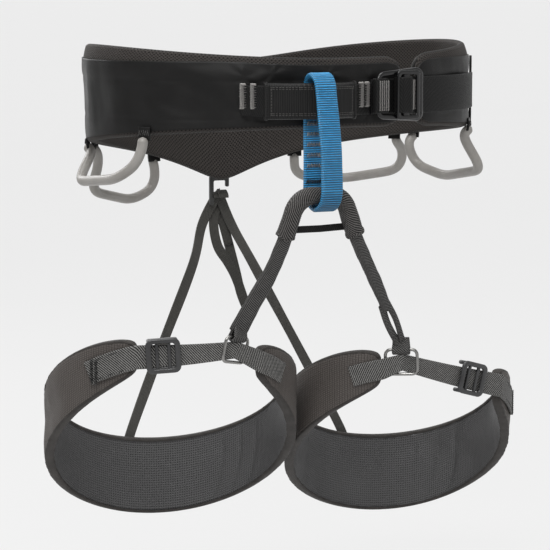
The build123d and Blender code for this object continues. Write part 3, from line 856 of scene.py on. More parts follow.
def tie_off(a):
    part = np.clip((a - TIE_START) / (TIE_END - TIE_START), 0, 1)
    return 0.5 + 13.0 * np.sin(np.pi * part) ** 1.3


def on_belt_strap(first, last, back, thick, height=0.0, off=None, step=1.0):
    a = np.linspace(first, last, 240)
    o = (off(a) if off else 0.0) + back + thick / 2
    path = belt_point(a, o, np.full_like(a, height))
    path, normal = resample(path, step, belt_normal(a))
    normal = unit(normal)
    across = np.repeat(UP[None], len(path), 0)
    return path, across, normal


path, across, normal = on_belt_strap(TIE_START, TIE_END, 0.6, 2.0, off=tie_off, step=0.4)
tie_strap = joined("tie_in_strap",
                   [strap_parts(path, across, normal, 23.0, 2.0, rib=(1.3, 0.05, 0.3), selvedge=0.12)],
                   LOOK["black_web"])

# the sleeve: a wrapped tube of cloth with piped ends and two stitched borders
path, across, normal = on_belt_strap(SLEEVE_START, SLEEVE_END, -0.7, 4.8, off=tie_off, step=0.8)
n = len(path)
run = lengths(path)
ends = np.exp(-(run / 1.4) ** 2) + np.exp(-((run[-1] - run) / 1.4) ** 2)
puff = 6.0 + 1.0 * ends + 0.3 * np.sin(run / 4.3)
wide = 26.8 + 1.0 * ends + 0.35 * np.sin(run / 6.0 + 1)
sleeve_main = strap_parts(path, across, normal, wide, puff, face_points=15)
parts = [sleeve_main]
for end in (2, n - 3):
    ring = path[end]
    profile = band_profile(6.4, 27.4, 12, 5)
    loop = ring + across[end] * (profile[:, :1] * 27.4 / 2) + normal[end] * (profile[:, 1:] * 6.2 / 2)
    loop = np.vstack([loop, loop[:1]])
    parts.append(tube_parts(resample(loop, 1.0), 0.75, sides=8, closed=True))
tie_sleeve = joined("tie_in_sleeve_cover", parts, LOOK["sleeve_cover"])

stitches = []
for height in (-10.2, 10.2):
    for row in range(2):
        z = height + (1.3 if height < 0 else -1.3) * row
        at = np.arange(4.0, run[-1] - 4.0, 2.3)
        for s in at:
            i = int(np.searchsorted(run, s))
            base = path[i] + UP * z + normal[i] * (puff[i] / 2 + 0.12)
            t = unit(path[min(i + 1, n - 1)] - path[i - 1])
            stitches.append(tube_parts(np.array([base - t * 0.75, base + normal[i] * 0.12, base + t * 0.75]),
                                       0.24, sides=5))
for end in (6, n - 7):
    for z in np.arange(-9.0, 9.1, 2.2):
        base = path[end] + UP * z + normal[end] * (puff[end] / 2 + 0.12)
        stitches.append(tube_parts(np.array([base - UP * 0.75, base + normal[end] * 0.12, base + UP * 0.75]),
                                   0.24, sides=5))
tie_stitches = joined("tie_in_sleeve_stitches", stitches, LOOK["mid_thread"])

tacks = []
for middle in (241.5, 244.3, 274.4, 276.6):
    origin = belt_point(middle, float(tie_off(np.array(middle))) + 2.8, 3.6)
    facing = belt_normal(np.array(middle))
    tacks.append(zigzag_parts(origin, UP, unit(np.cross(UP, facing)), facing, 18.0, 4.6, 0.9, 0.5))
    tacks.append(slab_parts(rounded_rect(4.4, 19.0, 0.8, 4),
                            (origin, unit(np.cross(UP, facing)), UP, facing), -0.7, -0.15, 0.25))
tie_tacks = joined("tie_in_tack_threads", tacks, LOOK["thread"])

# ---------------------------------------------------------------- buckle and waist strap
BUCKLE_ANGLE = 286.6
buckle_n = belt_normal(np.array(BUCKLE_ANGLE))
buckle_x = vec(-buckle_n[1], buckle_n[0], 0)
buckle_o = belt_point(BUCKLE_ANGLE, 0, 2.5)
LIFT = 2.0 + 1.0 + 1.4
place = (buckle_o, buckle_x, UP, buckle_n)
count = 10


def flared(line):
    """The buckle grows a little taller toward its open end."""
    return np.stack([line[:, 0], line[:, 1] * (1 + 0.004 * line[:, 0])], 1)


buckle_frame = joined("waist_buckle_frame", [slab_parts(
    flared(rounded_rect(45.0, 38.0, 7.0, count)), place, LIFT, LIFT + 3.4, 1.3,
    flared(rounded_rect(37.0, 30.0, 3.0, count)))], LOOK["buckle"])
above = LIFT + 3.9
plate_line = rounded_rect(22.0, 37.0, 3.0, count) + vec(6.0, 0)
bar = rounded_rect(6.0, 33.0, 1.2, 6) + vec(4.0, 0)
buckle_plate = joined("waist_buckle_plate", [
    slab_parts(plate_line, place, above, above + 2.2, 0.8,
               rounded_rect(15.2, 30.2, 1.6, count) + vec(6.0, 0)),
    slab_parts(bar, place, LIFT + 0.2, above + 2.0, 0.7)], LOOK["buckle"])

path, across, normal = on_belt_strap(BUCKLE_ANGLE + 2, 336.5, 0.9, 2.0, height=1.5, step=0.45)
waist_strap = joined("waist_strap_webbing",
                     [strap_parts(path, across, normal, 28.0, 2.0, rib=(1.2, 0.05, 0.2), selvedge=0.12)],
                     LOOK["black_web"])


def folded_web(corners, radius, width):
    """Webbing folded round a bar; corners are (along the belt, off the belt)."""
    line = rounded([buckle_o + buckle_x * a + buckle_n * b for a, b in corners], radius, 0.4)
    t = tangents(line)
    up = np.repeat(UP[None], len(line), 0)
    return strap_parts(line, up, unit(np.cross(up, t)) * np.sign(buckle_n @ np.cross(UP, t[len(t) // 2])),
                       width, 2.0,
                       rib=(1.2, 0.05, 0.2), selvedge=0.12)


path, across, normal = on_belt_strap(278.1, 286.1, 0.8, 2.0, height=1.5, step=0.45)
anchor_strap = joined("buckle_anchor_strap",
                      [strap_parts(path, across, normal, 26.0, 2.0, rib=(1.2, 0.05, 0.2), selvedge=0.12)],
                      LOOK["black_web"])
anchor_fold = joined("buckle_anchor_fold", [
    folded_web([(-24.2, 4.8), (-23.6, 9.0), (-13.4, 9.0), (-12.9, 4.8)], [2.2, 2.2], 26.0)],
    LOOK["black_web"])
waist_fold = joined("waist_strap_fold", [
    folded_web([(-3.7, 5.0), (-2.6, 11.6), (7.6, 11.6), (10.2, 7.5), (15.0, 5.0)], [2.0, 2.6, 2.6], 27.0)],
    LOOK["black_web"])


def thread_rows(name, rows):
    """Straight rows of satin stitch, given as (along the belt, off the belt)."""
    lines = [zigzag_parts(buckle_o + buckle_x * a + buckle_n * b, UP, buckle_x, buckle_n, 22.0, 1.0, 0.5,
                          0.36)
             for a, b in rows]
    return joined(name, lines, LOOK["thread"])


anchor_threads = thread_rows("buckle_anchor_threads",
                             [(a, 10.1) for a in (-22.0, -20.0, -18.0, -16.0, -14.0)])
fold_threads = thread_rows("waist_strap_fold_threads", [(9.0, 11.6), (11.3, 8.9), (13.6, 7.6)])

# ---------------------------------------------------------------- belay loop
loop_low, loop_high = box_mm("belay_loop")
LOOP_X = (loop_low[0] + loop_high[0]) / 2
back, front = loop_high[1] - 1.5, loop_low[1] + 1.5
top, bottom = loop_high[2] - 1.5, loop_low[2] + 1.5
corners = [vec(LOOP_X, back, top), vec(LOOP_X, -137.0, top + 0.5), vec(LOOP_X, -149.0, -36.0),
           vec(LOOP_X, front, bottom), vec(LOOP_X, back, bottom)]
path = rounded(corners, [13.0, 15.0, 60.0, 15.0, 15.5], 0.33, closed=True)
t = tangents(path, closed=True)
across = np.repeat(vec(1, 0, 0)[None], len(path), 0)
through = unit(np.cross(across, t))
run = lengths(path)
total = run[-1]
pitch = total / round(total / 1.7)
wobble = 0.25 * np.sin(run / total * 2 * math.pi * 3)
width = 17.0 + 0.25 * np.sin(run / total * 2 * math.pi * 5)
belay = joined("belay_loop_webbing",
               [strap_parts(path, across, through, width, 3.0 + 0 * run, rib=(pitch, 0.34, 0.0),
                                                  closed=True, selvedge=0.10, face_points=9)], LOOK["blue"])
tacks = []
for k in range(5):
    origin = vec(LOOP_X - 1.0, back - 1.75, -16.6 - 7.8 * k)
    tacks.append(zigzag_parts(origin, vec(1, 0, 0), UP, vec(0, -1, 0), 10.5, 2.9, 0.62, 0.46))
belay_tacks = joined("belay_loop_tack_threads", tacks, LOOK["thread"])
black_tack = joined("belay_loop_black_tack", [zigzag_parts(vec(LOOP_X, back - 1.8, -59.5), vec(1, 0, 0), UP,
                                                           vec(0, -1, 0), 14.0, 3.0, 0.6, 0.42)],
                                                           LOOK["dark_thread"])

# ---------------------------------------------------------------- leg loops
LEG_Y, LEG_TURN = -13.0, 25.0
LEGS = {
    "right": dict(side=-1, a=97.0, b=82.0, x=97.6, height=52.0, level=-247.0, tilt=63.0,
                  low=100.0, inner=-43.0, outer=256.0, ring=302.0, slider=0.27),
    "left": dict(side=1, a=100.0, b=84.0, x=101.0, height=55.0, level=-266.5, tilt=59.5,
                 low=130.0, inner=-33.0, outer=254.0, ring=316.0, slider=0.32),
}
LEG_PAD_T = 6.6


def leg_normal(leg, a):
    c, s = math.cos(math.radians(LEG_TURN)), math.sin(math.radians(LEG_TURN))
    long_way, short_way = vec(-leg["side"] * c, -s, 0), vec(-leg["side"] * s, c, 0)
    ca, sa = np.cos(np.radians(a))[..., None], np.sin(np.radians(a))[..., None]
    return unit(long_way * ca / leg["a"] + short_way * sa / leg["b"])


def leg_middle(leg, a):
    return leg["level"] - leg["tilt"] * np.cos(np.radians(a - leg["low"]))


def leg_point(leg, a, off=0.0, height=0.0):
    a = np.asarray(a, float)
    c, s = math.cos(math.radians(LEG_TURN)), math.sin(math.radians(LEG_TURN))
    long_way, short_way = vec(-leg["side"] * c, -s, 0), vec(-leg["side"] * s, c, 0)
    ca, sa = np.cos(np.radians(a))[..., None], np.sin(np.radians(a))[..., None]
    base = vec(leg["side"] * leg["x"], LEG_Y, 0) + long_way * leg["a"] * ca + short_way * leg["b"] * sa
    base = base + UP * (leg_middle(leg, a) + height)[..., None]
    return base + leg_normal(leg, a) * np.asarray(off)[..., None]


def leg_height(leg, a):
    full = leg["height"] + 9 * np.cos(np.radians(a - leg["low"]))
    return full * end_share(a, leg["inner"], leg["outer"], 52.0, 0.42)


def outward_sheet(P, normal_at_middle):
    """Turn the grid so that its normals point the given way."""
    N = grid_normals(P)
    return P if N[len(N) // 2, P.shape[1] // 2] @ normal_at_middle > 0 else P[::-1]


def make_leg(name, leg, seed):
    angles = np.linspace(leg["inner"], leg["outer"], 111)
    half = leg_height(leg, angles) / 2
    P, W = pad_skin(lambda a, off, h: leg_point(leg, a, off, h), half, -half, LEG_PAD_T, angles, face_rows=10)
    P = soften(P, W, 4.0, 3)
    rows = 11
    middle = leg_normal(leg, np.array((leg["inner"] + leg["outer"]) / 2))
    outer = outward_sheet(finer(P[:, :rows], 4, 4), middle)
    N = grid_normals(outer)
    seen = np.clip(np.minimum(np.arange(outer.shape[1]), outer.shape[1] - 1 - np.arange(outer.shape[1])) / 5,
                   0, 1)
    D = 0.45 * ripple(outer, 24.0, seed) + 0.14 * ripple(outer, 7.0, seed + 4)
    shell = outer + N * (D * seen + 0.25)[..., None]
    cover = thick_sheet(f"leg_shell_{name}", shell, 0.9, LOOK["leg_shell"])
    inner = outward_sheet(finer(P[:, rows - 1 + EDGE_ROWS + 1:2 * rows + EDGE_ROWS], 4, 4), -middle)
    N = grid_normals(inner)
    seen = np.clip(np.minimum(np.arange(inner.shape[1]), inner.shape[1] - 1 - np.arange(inner.shape[1])) / 5,
                   0, 1)
    run = lengths(inner[:, inner.shape[1] // 2])
    across = np.linspace(-1, 1, inner.shape[1])[None, :]
    folds = np.zeros(inner.shape[:2])
    for at, wide, deep in ((0.30, 3.0, 0.9), (0.335, 2.2, 0.8), (0.37, 2.6, 0.9), (0.47, 6.0, 0.5),
                           (0.62, 5.0, 0.5), (0.70, 3.0, 0.5)):
        where = at * run[-1] + 5.0 * across + 2.0 * np.sin(3 * across + seed)
        folds += deep * np.exp(-((run[:, None] - where) / wide) ** 2) * (1 - 0.5 * across ** 2)
    D = 0.35 * ripple(inner, 26.0, seed + 2) + 0.13 * ripple(inner, 8.0, seed + 6) - folds
    skin = inner + N * (D * seen + 0.2)[..., None]
    lining = thick_sheet(f"leg_lining_{name}", skin, 0.9, LOOK["leg_lining"])
    # tape bound round the whole rim of the pad, ends included
    fine = np.linspace(leg["inner"], leg["outer"], 420)
    tall = leg_height(leg, fine) / 2
    top_line = leg_point(leg, fine, -LEG_PAD_T / 2, tall - 1.0)
    bottom_line = leg_point(leg, fine, -LEG_PAD_T / 2, -(tall - 1.0))
    loop = np.vstack([top_line, bottom_line[::-1], top_line[:1]])
    outward = np.vstack([leg_normal(leg, fine), leg_normal(leg, fine[::-1]), leg_normal(leg, fine[:1])])
    loop, outward = resample(loop, 1.6, outward)
    outward = unit(outward)
    t = tangents(loop, closed=True)
    away = unit(np.cross(t, outward))
    tape_parts = tape_round(loop, outward, away, LEG_PAD_T + 0.7, 1.3)
    tape = joined(f"leg_rim_tape_{name}", [tape_parts], LOOK["leg_tape"])
    return cover, lining, tape


def ring_centre(leg):
    return leg_point(leg, leg["ring"], 1.0, 3.5)


def leg_strap(name, leg):
    off = 1.5
    outer_a = np.linspace(leg["outer"] - 22, leg["outer"] + 1, 6)
    inner_a = np.linspace(359 + leg["inner"], 374 + leg["inner"], 4)
    outer, inner = leg_point(leg, outer_a, off + 0.5), leg_point(leg, inner_a, off + 0.5)
    ring = ring_centre(leg)
    before, after = unit(ring - outer[-1]), unit(inner[0] - ring)
    first = np.linspace(0, 1, 12)[1:, None] * (ring - outer[-1]) + outer[-1]
    second = np.linspace(0, 1, 6)[1:-1, None] * (inner[0] - ring) + ring
    sag = np.sin(np.linspace(0, 1, 12)[1:] * math.pi)
    first = first - UP * (0.8 * sag)[:, None]
    path = np.vstack([outer, first, second, inner])
    normals = np.vstack([leg_normal(leg, outer_a),
                         np.repeat(leg_normal(leg, np.array(leg["ring"] - 12.0))[None], 11, 0),
                         np.repeat(leg_normal(leg, np.array(leg["ring"] + 8.0))[None], 4, 0),
                         leg_normal(leg, inner_a)])
    widths = np.concatenate([[18.0] * 6, np.linspace(18.0, 12.6, 11), np.linspace(13.0, 15.5, 4), [16.0] * 4])
    path, normals, widths = resample(path, 0.45, normals, widths)
    for _ in range(12):
        path[1:-1] = (path[:-2] + 2 * path[1:-1] + path[2:]) / 4
        normals[1:-1] = (normals[:-2] + 2 * normals[1:-1] + normals[2:]) / 4
    t = tangents(path)
    across = unit(np.cross(np.cross(t, UP), t))
    through = unit(np.cross(t, across))
    flip = np.where((through * normals).sum(1) < 0, -1.0, 1.0)
    through = through * flip[:, None]
    strap = joined(f"leg_strap_{name}",
                   [strap_parts(path, across, through, widths, 2.0, rib=(1.6, 0.06, 0.8), selvedge=0.12)],
                   LOOK["leg_web"])
    normal = leg_normal(leg, np.array(leg["outer"] - 20.0))
    spot = leg_point(leg, np.array(leg["outer"] - 20.0), 3.1, np.array(0.0))
    side = unit(np.cross(UP, normal))
    sewn = [zigzag_parts(spot + side * d, UP, side, normal, 19.0, 2.6, 0.6, 0.36) for d in (0.0, 4.0)]
    for height in (-7.4, 7.4):
        a = np.linspace(leg["outer"] - 19, leg["outer"] - 5, 12)
        for k in range(len(a)):
            base = leg_point(leg, a[k], 3.15, np.array(height))
            sewn.append(tube_parts(np.array([base - side * 0.7, base + normal * 0.12, base + side * 0.7]),
                                   0.22, sides=5))
    tacks = joined(f"leg_strap_threads_{name}", sewn, LOOK["dark_thread"])
    return strap, tacks, outer[-1], before, after


def leg_ring(name, leg, before, after):
    tangent = unit(before + after)
    outward = unit(np.cross(tangent, UP)) * -leg["side"]
    up = unit(UP - tangent * tangent[2])
    wide = unit(tangent - outward * 0.55)
    origin = ring_centre(leg) - outward * 1.2
    half_w, half_h = (27.0 - 2.5) / 2, (21.6 - 2.5) / 2
    line = rounded([origin + wide * x * half_w + up * y * half_h for x,
                    y in ((1, 1), (-1, 1), (-1, -1), (1, -1))],
                   4.0, 0.8, closed=True)
    ring = joined(f"leg_ring_wire_{name}", [tube_parts(line, 1.25, sides=14, closed=True)], LOOK["ring"])
    return ring, origin + up * half_h, wide, up, outward


def leg_slider(name, leg, start, way_full):
    way = unit(way_full)
    facing = unit(np.cross(way, UP)) * -leg["side"]
    y = unit(np.cross(facing, way))
    origin = start + way_full * leg["slider"]
    place = (origin, way, y, facing)
    lift = 2.0
    parts = [slab_parts(rounded_rect(26.0, 26.0, 5.0, 8), place, lift, lift + 3.0, 1.1,
                        rounded_rect(17.6, 18.8, 2.2, 8))]
    for x in (-4.6, 4.6):
        parts.append(slab_parts(rounded_rect(2.6, 24.0, 1.0, 5) + vec(x, 0), place, lift - 0.6, lift + 1.6,
                                0.7))
    for row in (-11.0, 11.0):
        parts.append(slab_parts(rounded_rect(23.0, 3.2, 1.4, 5) + vec(0, row), place, -lift - 2.3,
                                lift + 1.4, 0.8))
    slider = joined(f"leg_slider_body_{name}", parts, LOOK["slider"])
    return slider, place


leg_things, tops = {}, {}
for index, (name, leg) in enumerate(LEGS.items()):
    cover, lining, tape = make_leg(name, leg, 11.0 + 6 * index)
    strap, tacks, start, before, after = leg_strap(name, leg)
    ring, top_point, wide, up, outward = leg_ring(name, leg, before, after)
    start_cad = leg_point(leg, np.array(leg["outer"] + 1.0), 1.5)
    slider, slider_place = leg_slider(name, leg, start_cad, ring_centre(leg) - start_cad)
    leg_things[name] = dict(cover=cover, lining=lining, tape=tape, strap=strap, tacks=tacks, ring=ring,
                            slider=slider)
    tops[name] = (top_point, wide, up, outward)

# ---------------------------------------------------------------- leg bridge
right_top, left_top = tops["right"][0], tops["left"][0]
BRIDGE_Y = -136.0
points = [right_top + vec(0, 0, 4), right_top + vec(20, -17, 50), vec(-54, BRIDGE_Y + 4, -95),
          vec(-47, BRIDGE_Y, -68.5),
          vec(-10.5, BRIDGE_Y, -68.5), vec(1, BRIDGE_Y + 4, -97), left_top + vec(-31, -20, 52),
          left_top + vec(0, 0, 4)]
bridge_path = rounded(points, [60.0, 60.0, 15.0, 15.0, 60.0, 60.0], 0.5)
bridge_run = lengths(bridge_path)
LONG = bridge_run[-1]


def strap_frame(path, facing):
    t = tangents(path)
    across = unit(np.cross(np.broadcast_to(facing, path.shape), t))
    return across, unit(np.cross(t, across))


def oval_parts(path, across, through, width, thick, sides=20, rib=None, power=0.8, caps=True):
    a = np.linspace(0, 2 * math.pi, sides, endpoint=False)
    run = lengths(path)
    c, s = np.cos(a), np.sin(a)
    c, s = np.sign(c) * np.abs(c) ** power, np.sign(s) * np.abs(s) ** power
    grow = 0.0
    if rib:
        pitch, depth, lean = rib
        grow = depth * np.sin(2 * math.pi * (run[:, None] / pitch + lean * a[None, :] / (2 * math.pi)))
    P = (path[:, None, :] + across[:, None, :] * (c[None, :] * (width / 2)[:, None] + grow * c[None, :])[:,
        :, None]
         + through[:, None, :] * (s[None, :] * (thick / 2)[:, None] + grow * s[None, :])[:, :, None])
    around = np.linspace(0, math.pi * (width.mean() + thick.mean()) / 2, sides + 1)
    U = np.stack(np.broadcast_arrays(run[:, None], around[None, :]), -1)
    return grid_parts(P, U, close_v=True, caps=caps)


SPLIT = 44.0
keep = bridge_run <= LONG - SPLIT + 6
path = bridge_path[keep]
run = bridge_run[keep]
across, through = strap_frame(path, vec(0.18, -1, 0))
knots = [0, 30, 70, 110, 150, LONG - 150, LONG - 110, LONG - 70, LONG - SPLIT + 6]
width = np.interp(run, knots, [16.0, 14.5, 12.5, 10.5, 9.4, 9.4, 10.0, 10.0, 8.5])
thick = np.interp(run, knots, [3.4, 4.4, 6.2, 8.4, 9.0, 9.0, 8.6, 7.6, 6.0])
width = width + 0.3 * np.sin(run / 5.0) + 0.2 * np.sin(run / 2.2)
path = path + across * (0.5 * np.sin(run / 17.0))[:, None]
bridge_core = joined("leg_bridge_webbing",
                     [oval_parts(path, across, through, width, thick, rib=(1.1, 0.06, 2.0))],
                     LOOK["bridge_web"])

second = bridge_run <= 84
path2 = bridge_path[second]
across2, through2 = strap_frame(path2, vec(0.18, -1, 0))
share = bridge_run[second] / 84
path2 = path2 + vec(1, 0.5, 0) * (5.6 * (1 - share) ** 0.7)[:, None] + vec(0, 2.6, 0) * (1 - share)[:, None]
bridge_second = joined("leg_bridge_second_layer",
                       [oval_parts(path2, across2, through2, 9.5 - 3.0 * share, 2.6 + 0 * share, sides=14,
                                   rib=(1.1, 0.05, 2.0))],
                       LOOK["black_web"])

strands = []
last = bridge_run >= LONG - SPLIT
path3 = bridge_path[last]
share = (bridge_run[last] - (LONG - SPLIT)) / SPLIT
across3, through3 = strap_frame(path3, vec(0.2, -1, 0))
for side, wide3 in ((-1, 6.6), (1, 5.6)):
    gap = 1.9 + 1.6 * np.sin(np.clip(share * 1.15, 0, 1) * math.pi) ** 1.2
    line = path3 + across3 * (side * gap)[:, None] + through3 * (side * 1.1)
    strands.append(oval_parts(line, across3, through3, wide3 - 0.8 * np.sin(share * math.pi),
                              2.8 + 0.4 * share, sides=14, rib=(1.1, 0.05, 2.0)))
bridge_strands = joined("leg_bridge_split_strands", strands, LOOK["bridge_web"])

feet = []
for name in ("right", "left"):
    top_point, wide, up, outward = tops[name]
    depth_way = unit(np.cross(wide, up))
    turn = np.radians(np.linspace(-205, 25, 34))
    arc = np.array([top_point + depth_way * (2.9 * math.cos(a)) + up * (2.9 * math.sin(a)) for a in turn])
    tail_a = arc[-1] + up * np.linspace(0.5, 8, 8)[:, None] - depth_way * np.linspace(0.2, 2.0, 8)[:, None]
    tail_b = arc[0] + up * np.linspace(8, 0.5, 8)[:, None] + depth_way * np.linspace(2.0, 0.2, 8)[:, None]
    line = resample(np.vstack([tail_b, arc, tail_a]), 0.5)
    t = tangents(line)
    feet.append(strap_parts(line, np.repeat(wide[None], len(line), 0), unit(np.cross(wide, t)),
                            np.interp(lengths(line), [0, 8, lengths(line)[-1] - 8, lengths(line)[-1]],
                                      [12.0, 14.0, 14.0, 13.0]),
                            2.2, rib=(1.1, 0.05, 0.6), selvedge=0.1))
bridge_feet = joined("leg_bridge_feet", feet, LOOK["bridge_web"])

covered = np.where(bridge_path[:, 2] > -98.5)[0]
path4 = bridge_path[covered[0]:covered[-1] + 1]
run4 = lengths(path4)
across4, through4 = strap_frame(path4, vec(0.18, -1, 0))
edge4 = np.exp(-(run4 / 2.0) ** 2) + np.exp(-((run4[-1] - run4) / 2.0) ** 2)
in_loop = np.exp(-((path4[:, 0] - LOOP_X) / 9.0) ** 2) * (path4[:, 2] > -75)
w4 = 13.2 + 0.9 * edge4 + 0.35 * np.sin(run4 / 4.0) - 1.0 * in_loop
t4 = 12.0 + 0.8 * edge4 + 0.35 * np.sin(run4 / 3.3 + 1) - 1.2 * in_loop
sleeve_parts = [oval_parts(path4, across4, through4, w4, t4, sides=28, rib=(1.5, 0.16, 3.0), caps=True)]
for end in (1, len(path4) - 2):
    rim = [path4[end] + across4[end] * math.cos(a) * 7.0 + through4[end] * math.sin(a) * 6.4
           + (path4[min(end + 1, len(path4) - 1)] - path4[end - 1]) * 0.9 * math.sin(3 * a + end) for a in np.linspace(0, 2 * math.pi, 37)]
    sleeve_parts.append(tube_parts(np.array(rim), 0.7, sides=7, closed=True))
bridge_sleeve = joined("bridge_wear_sleeve", sleeve_parts, LOOK["sleeve_web"])

low, high = box_mm("bridge_spacer_strap")
line = resample(np.array([vec(low[0] - 1.5, (low[1] + high[1]) / 2, low[2] + 2.6),
                          vec((low[0] + high[0]) / 2, (low[1] + high[1]) / 2 + 0.5,
                              (low[2] + high[2]) / 2 - 0.5),
                          vec(high[0] + 1.5, (low[1] + high[1]) / 2, high[2] - 2.6)]), 0.6)
spacer = joined("bridge_spacer_webbing",
                [strap_parts(line, np.repeat(UP[None], len(line), 0),
                             np.repeat(vec(0, -1, 0)[None], len(line), 0), 5.2, 1.5,
                                                      rib=(1.0, 0.05, 0.5))], LOOK["black_web"])

# ---------------------------------------------------------------- gear loops and tabs
GEAR = {
    "gear_loop_front_right": ([(-137.0, -58.5, -31.5), (-142.0, -59.0, -47.0), (-151.0, -38.0, -60.0),
                               (-156.5, 28.0, -66.5), (-148.0, 32.0, -53.0), (-136.5, 47.5, -44.0)],
                               [12.0, 20.0, 5.0, 12.0]),
    "gear_loop_front_left": ([(136.0, -51.0, -32.0), (145.0, -50.0, -46.0), (154.0, -54.0, -62.0),
                              (156.0, 13.0, -72.0), (147.5, 50.0, -64.0), (138.5, 44.0, -43.5)],
                              [10.0, 5.0, 20.0, 12.0]),
    "gear_loop_rear_right": ([(-126.5, 63.0, -46.5), (-123.0, 72.0, -60.0), (-128.0, 78.0, -79.0),
                              (-82.0, 104.0, -90.5), (-56.5, 114.0, -81.0), (-62.0, 104.5, -61.0)],
                              [10.0, 6.0, 16.0, 10.0]),
    "gear_loop_rear_left": ([(136.0, 61.0, -45.5), (148.0, 69.0, -53.0), (150.0, 76.0, -71.0),
                             (112.0, 110.0, -80.0), (71.0, 118.0, -77.0), (64.0, 104.0, -60.5)],
                             [8.0, 8.0, 16.0, 10.0]),
}
gear_things, tab_parts, tab_threads = {}, [], []
for node, (points, radii) in GEAR.items():
    ends = []
    for x, y, z in (points[0], points[-1]):
        angle = np.array(math.degrees(math.atan2(y / BELT_B, x / BELT_A)))
        ends.append(belt_point(angle, 3.6, np.array(z + 4.0)))
    line = rounded([ends[0]] + [vec(*p) for p in points] + [ends[1]],
                   [9.0] + [2.0 * r for r in radii] + [9.0], 0.9)
    for _ in range(40):
        line[1:-1] = (line[:-2] + 2 * line[1:-1] + line[2:]) / 4
    run = lengths(line)
    ends = np.minimum(run, run[-1] - run)
    radius = 3.9 * np.sqrt(np.clip(1 - (1 - np.clip(ends / 3.6, 0, 1)) ** 2, 0.02, 1))
    gear_things[node] = joined(node + "_rod", [tube_parts(line, radius, sides=24)], LOOK["gear"])
    for x, y, z in (points[0], points[-1]):
        angle = math.degrees(math.atan2(y / BELT_B, x / BELT_A))
        middle = z + 6.5
        a = np.linspace(angle - 2.2, angle + 2.2, 14)
        rows = [belt_point(a, 0.8 + 0.7 * math.sin(math.pi * k / 10),
                           np.full_like(a, middle - 5.0 + 10.0 * k / 10))
                for k in range(11)]
        sheet = outward_sheet(np.stack(rows, 1), belt_normal(np.array(angle)))
        U = flat_coords(sheet)
        N = grid_normals(sheet)
        tab = np.concatenate([sheet + N * 0.6, (sheet - N * 1.2)[:, ::-1]], 1)
        V = np.concatenate([U[..., 1], U[..., 1] + 15, U[:, :1, 1] + 30], 1)
        tab_parts.append(grid_parts(tab, np.stack([np.repeat(U[:, :1, 0], V.shape[1], 1), V], -1),
                                    close_v=True, caps=True))
        facing = belt_normal(np.array(angle))
        origin = belt_point(np.array(angle), 2.3, np.array(middle + 0.5))
        tab_threads.append(zigzag_parts(origin, unit(np.cross(UP, facing)), UP, facing, 8.5, 3.6, 0.8, 0.36))
gear_tabs = joined("gear_loop_sewn_tabs", tab_parts, LOOK["shell"])
gear_threads = joined("gear_loop_tab_threads", tab_threads, LOOK["mid_thread"])

# ---------------------------------------------------------------- rear hook, risers, tail
HOOK = centre_mm("riser_hook") + vec(0.4, 0, 2.8)
outline = [(-9.0, 5.8), (-7.4, 8.2), (7.0, 8.2), (8.2, 6.6), (8.2, -2.4), (5.4, -2.4), (5.4, 3.0),
           (-5.6, 3.0),
           (-5.6, -8.8), (7.4, -8.8), (7.4, -11.6), (-5.6, -11.6), (-5.6, -17.6), (-9.0, -17.6)]
line = rounded([vec(x, y, 0) for x, y in outline], 1.1, 0.45, closed=True)[:-1, :2]
hook_place = (HOOK, vec(1, 0, 0), UP, vec(0, -1, 0))


def hook_plate(line, place, half, bevel):
    """The hook has a bent outline, so its edge is rolled by normals measured on the line."""
    origin, x, y, z = place
    t = unit(np.roll(line, -1, 0) - np.roll(line, 1, 0))
    n = np.stack([-t[:, 1], t[:, 0]], 1)
    area = 0.5 * np.sum(line[:, 0] * np.roll(line[:, 1], -1) - np.roll(line[:, 0], -1) * line[:, 1])
    n = n if area > 0 else -n
    rows = []
    for d, h in ((bevel, -half), (0.25 * bevel, -half + 0.25 * bevel), (0, -half + bevel), (0, half - bevel),
                 (0.25 * bevel, half - 0.25 * bevel), (bevel, half)):
        l = line + n * d
        rows.append(origin + l[:, :1] * x + l[:, 1:] * y + h * z)
    P = np.stack(rows)
    U = np.stack([np.vstack([line, line[:1]])] * len(rows))
    return grid_parts(P, U, close_v=True, caps=True)


hook = joined("riser_hook_body", [hook_plate(line, hook_place, 1.6, 0.6)], LOOK["hook"])
low, high = box_mm("rear_hook_tab")
tab_x, tab_y = (low[0] + high[0]) / 2, (low[1] + high[1]) / 2
line = resample(np.array([vec(tab_x, tab_y, high[2]), vec(tab_x, tab_y + 0.3, low[2] + 6),
                          vec(tab_x, tab_y + 1.4, low[2] + 1.0),
                          vec(tab_x, tab_y + 3.2, low[2] - 0.4), vec(tab_x, tab_y + 5.2, low[2] + 1.0)]), 0.5)
t = tangents(line)
hook_tab = joined("rear_hook_tab_webbing", [strap_parts(line, np.repeat(vec(1, 0, 0)[None], len(line), 0),
                                                        unit(np.cross(vec(1, 0, 0), t)), 12.0, 1.8,
                                                        rib=(1.0, 0.05, 0.4), selvedge=0.1)],
                  LOOK["black_web"])
hook_tack = joined("rear_hook_tab_tack",
                   [zigzag_parts(vec(tab_x, tab_y + 1.3, low[2] + 9), vec(1, 0, 0), UP, vec(0, 1, 0), 10.0,
                                 2.4, 0.6, 0.36)],
                   LOOK["dark_thread"])
RISER_W, RISER_T = 8.5, 1.6
BACKWARD = vec(0, 1, 0)


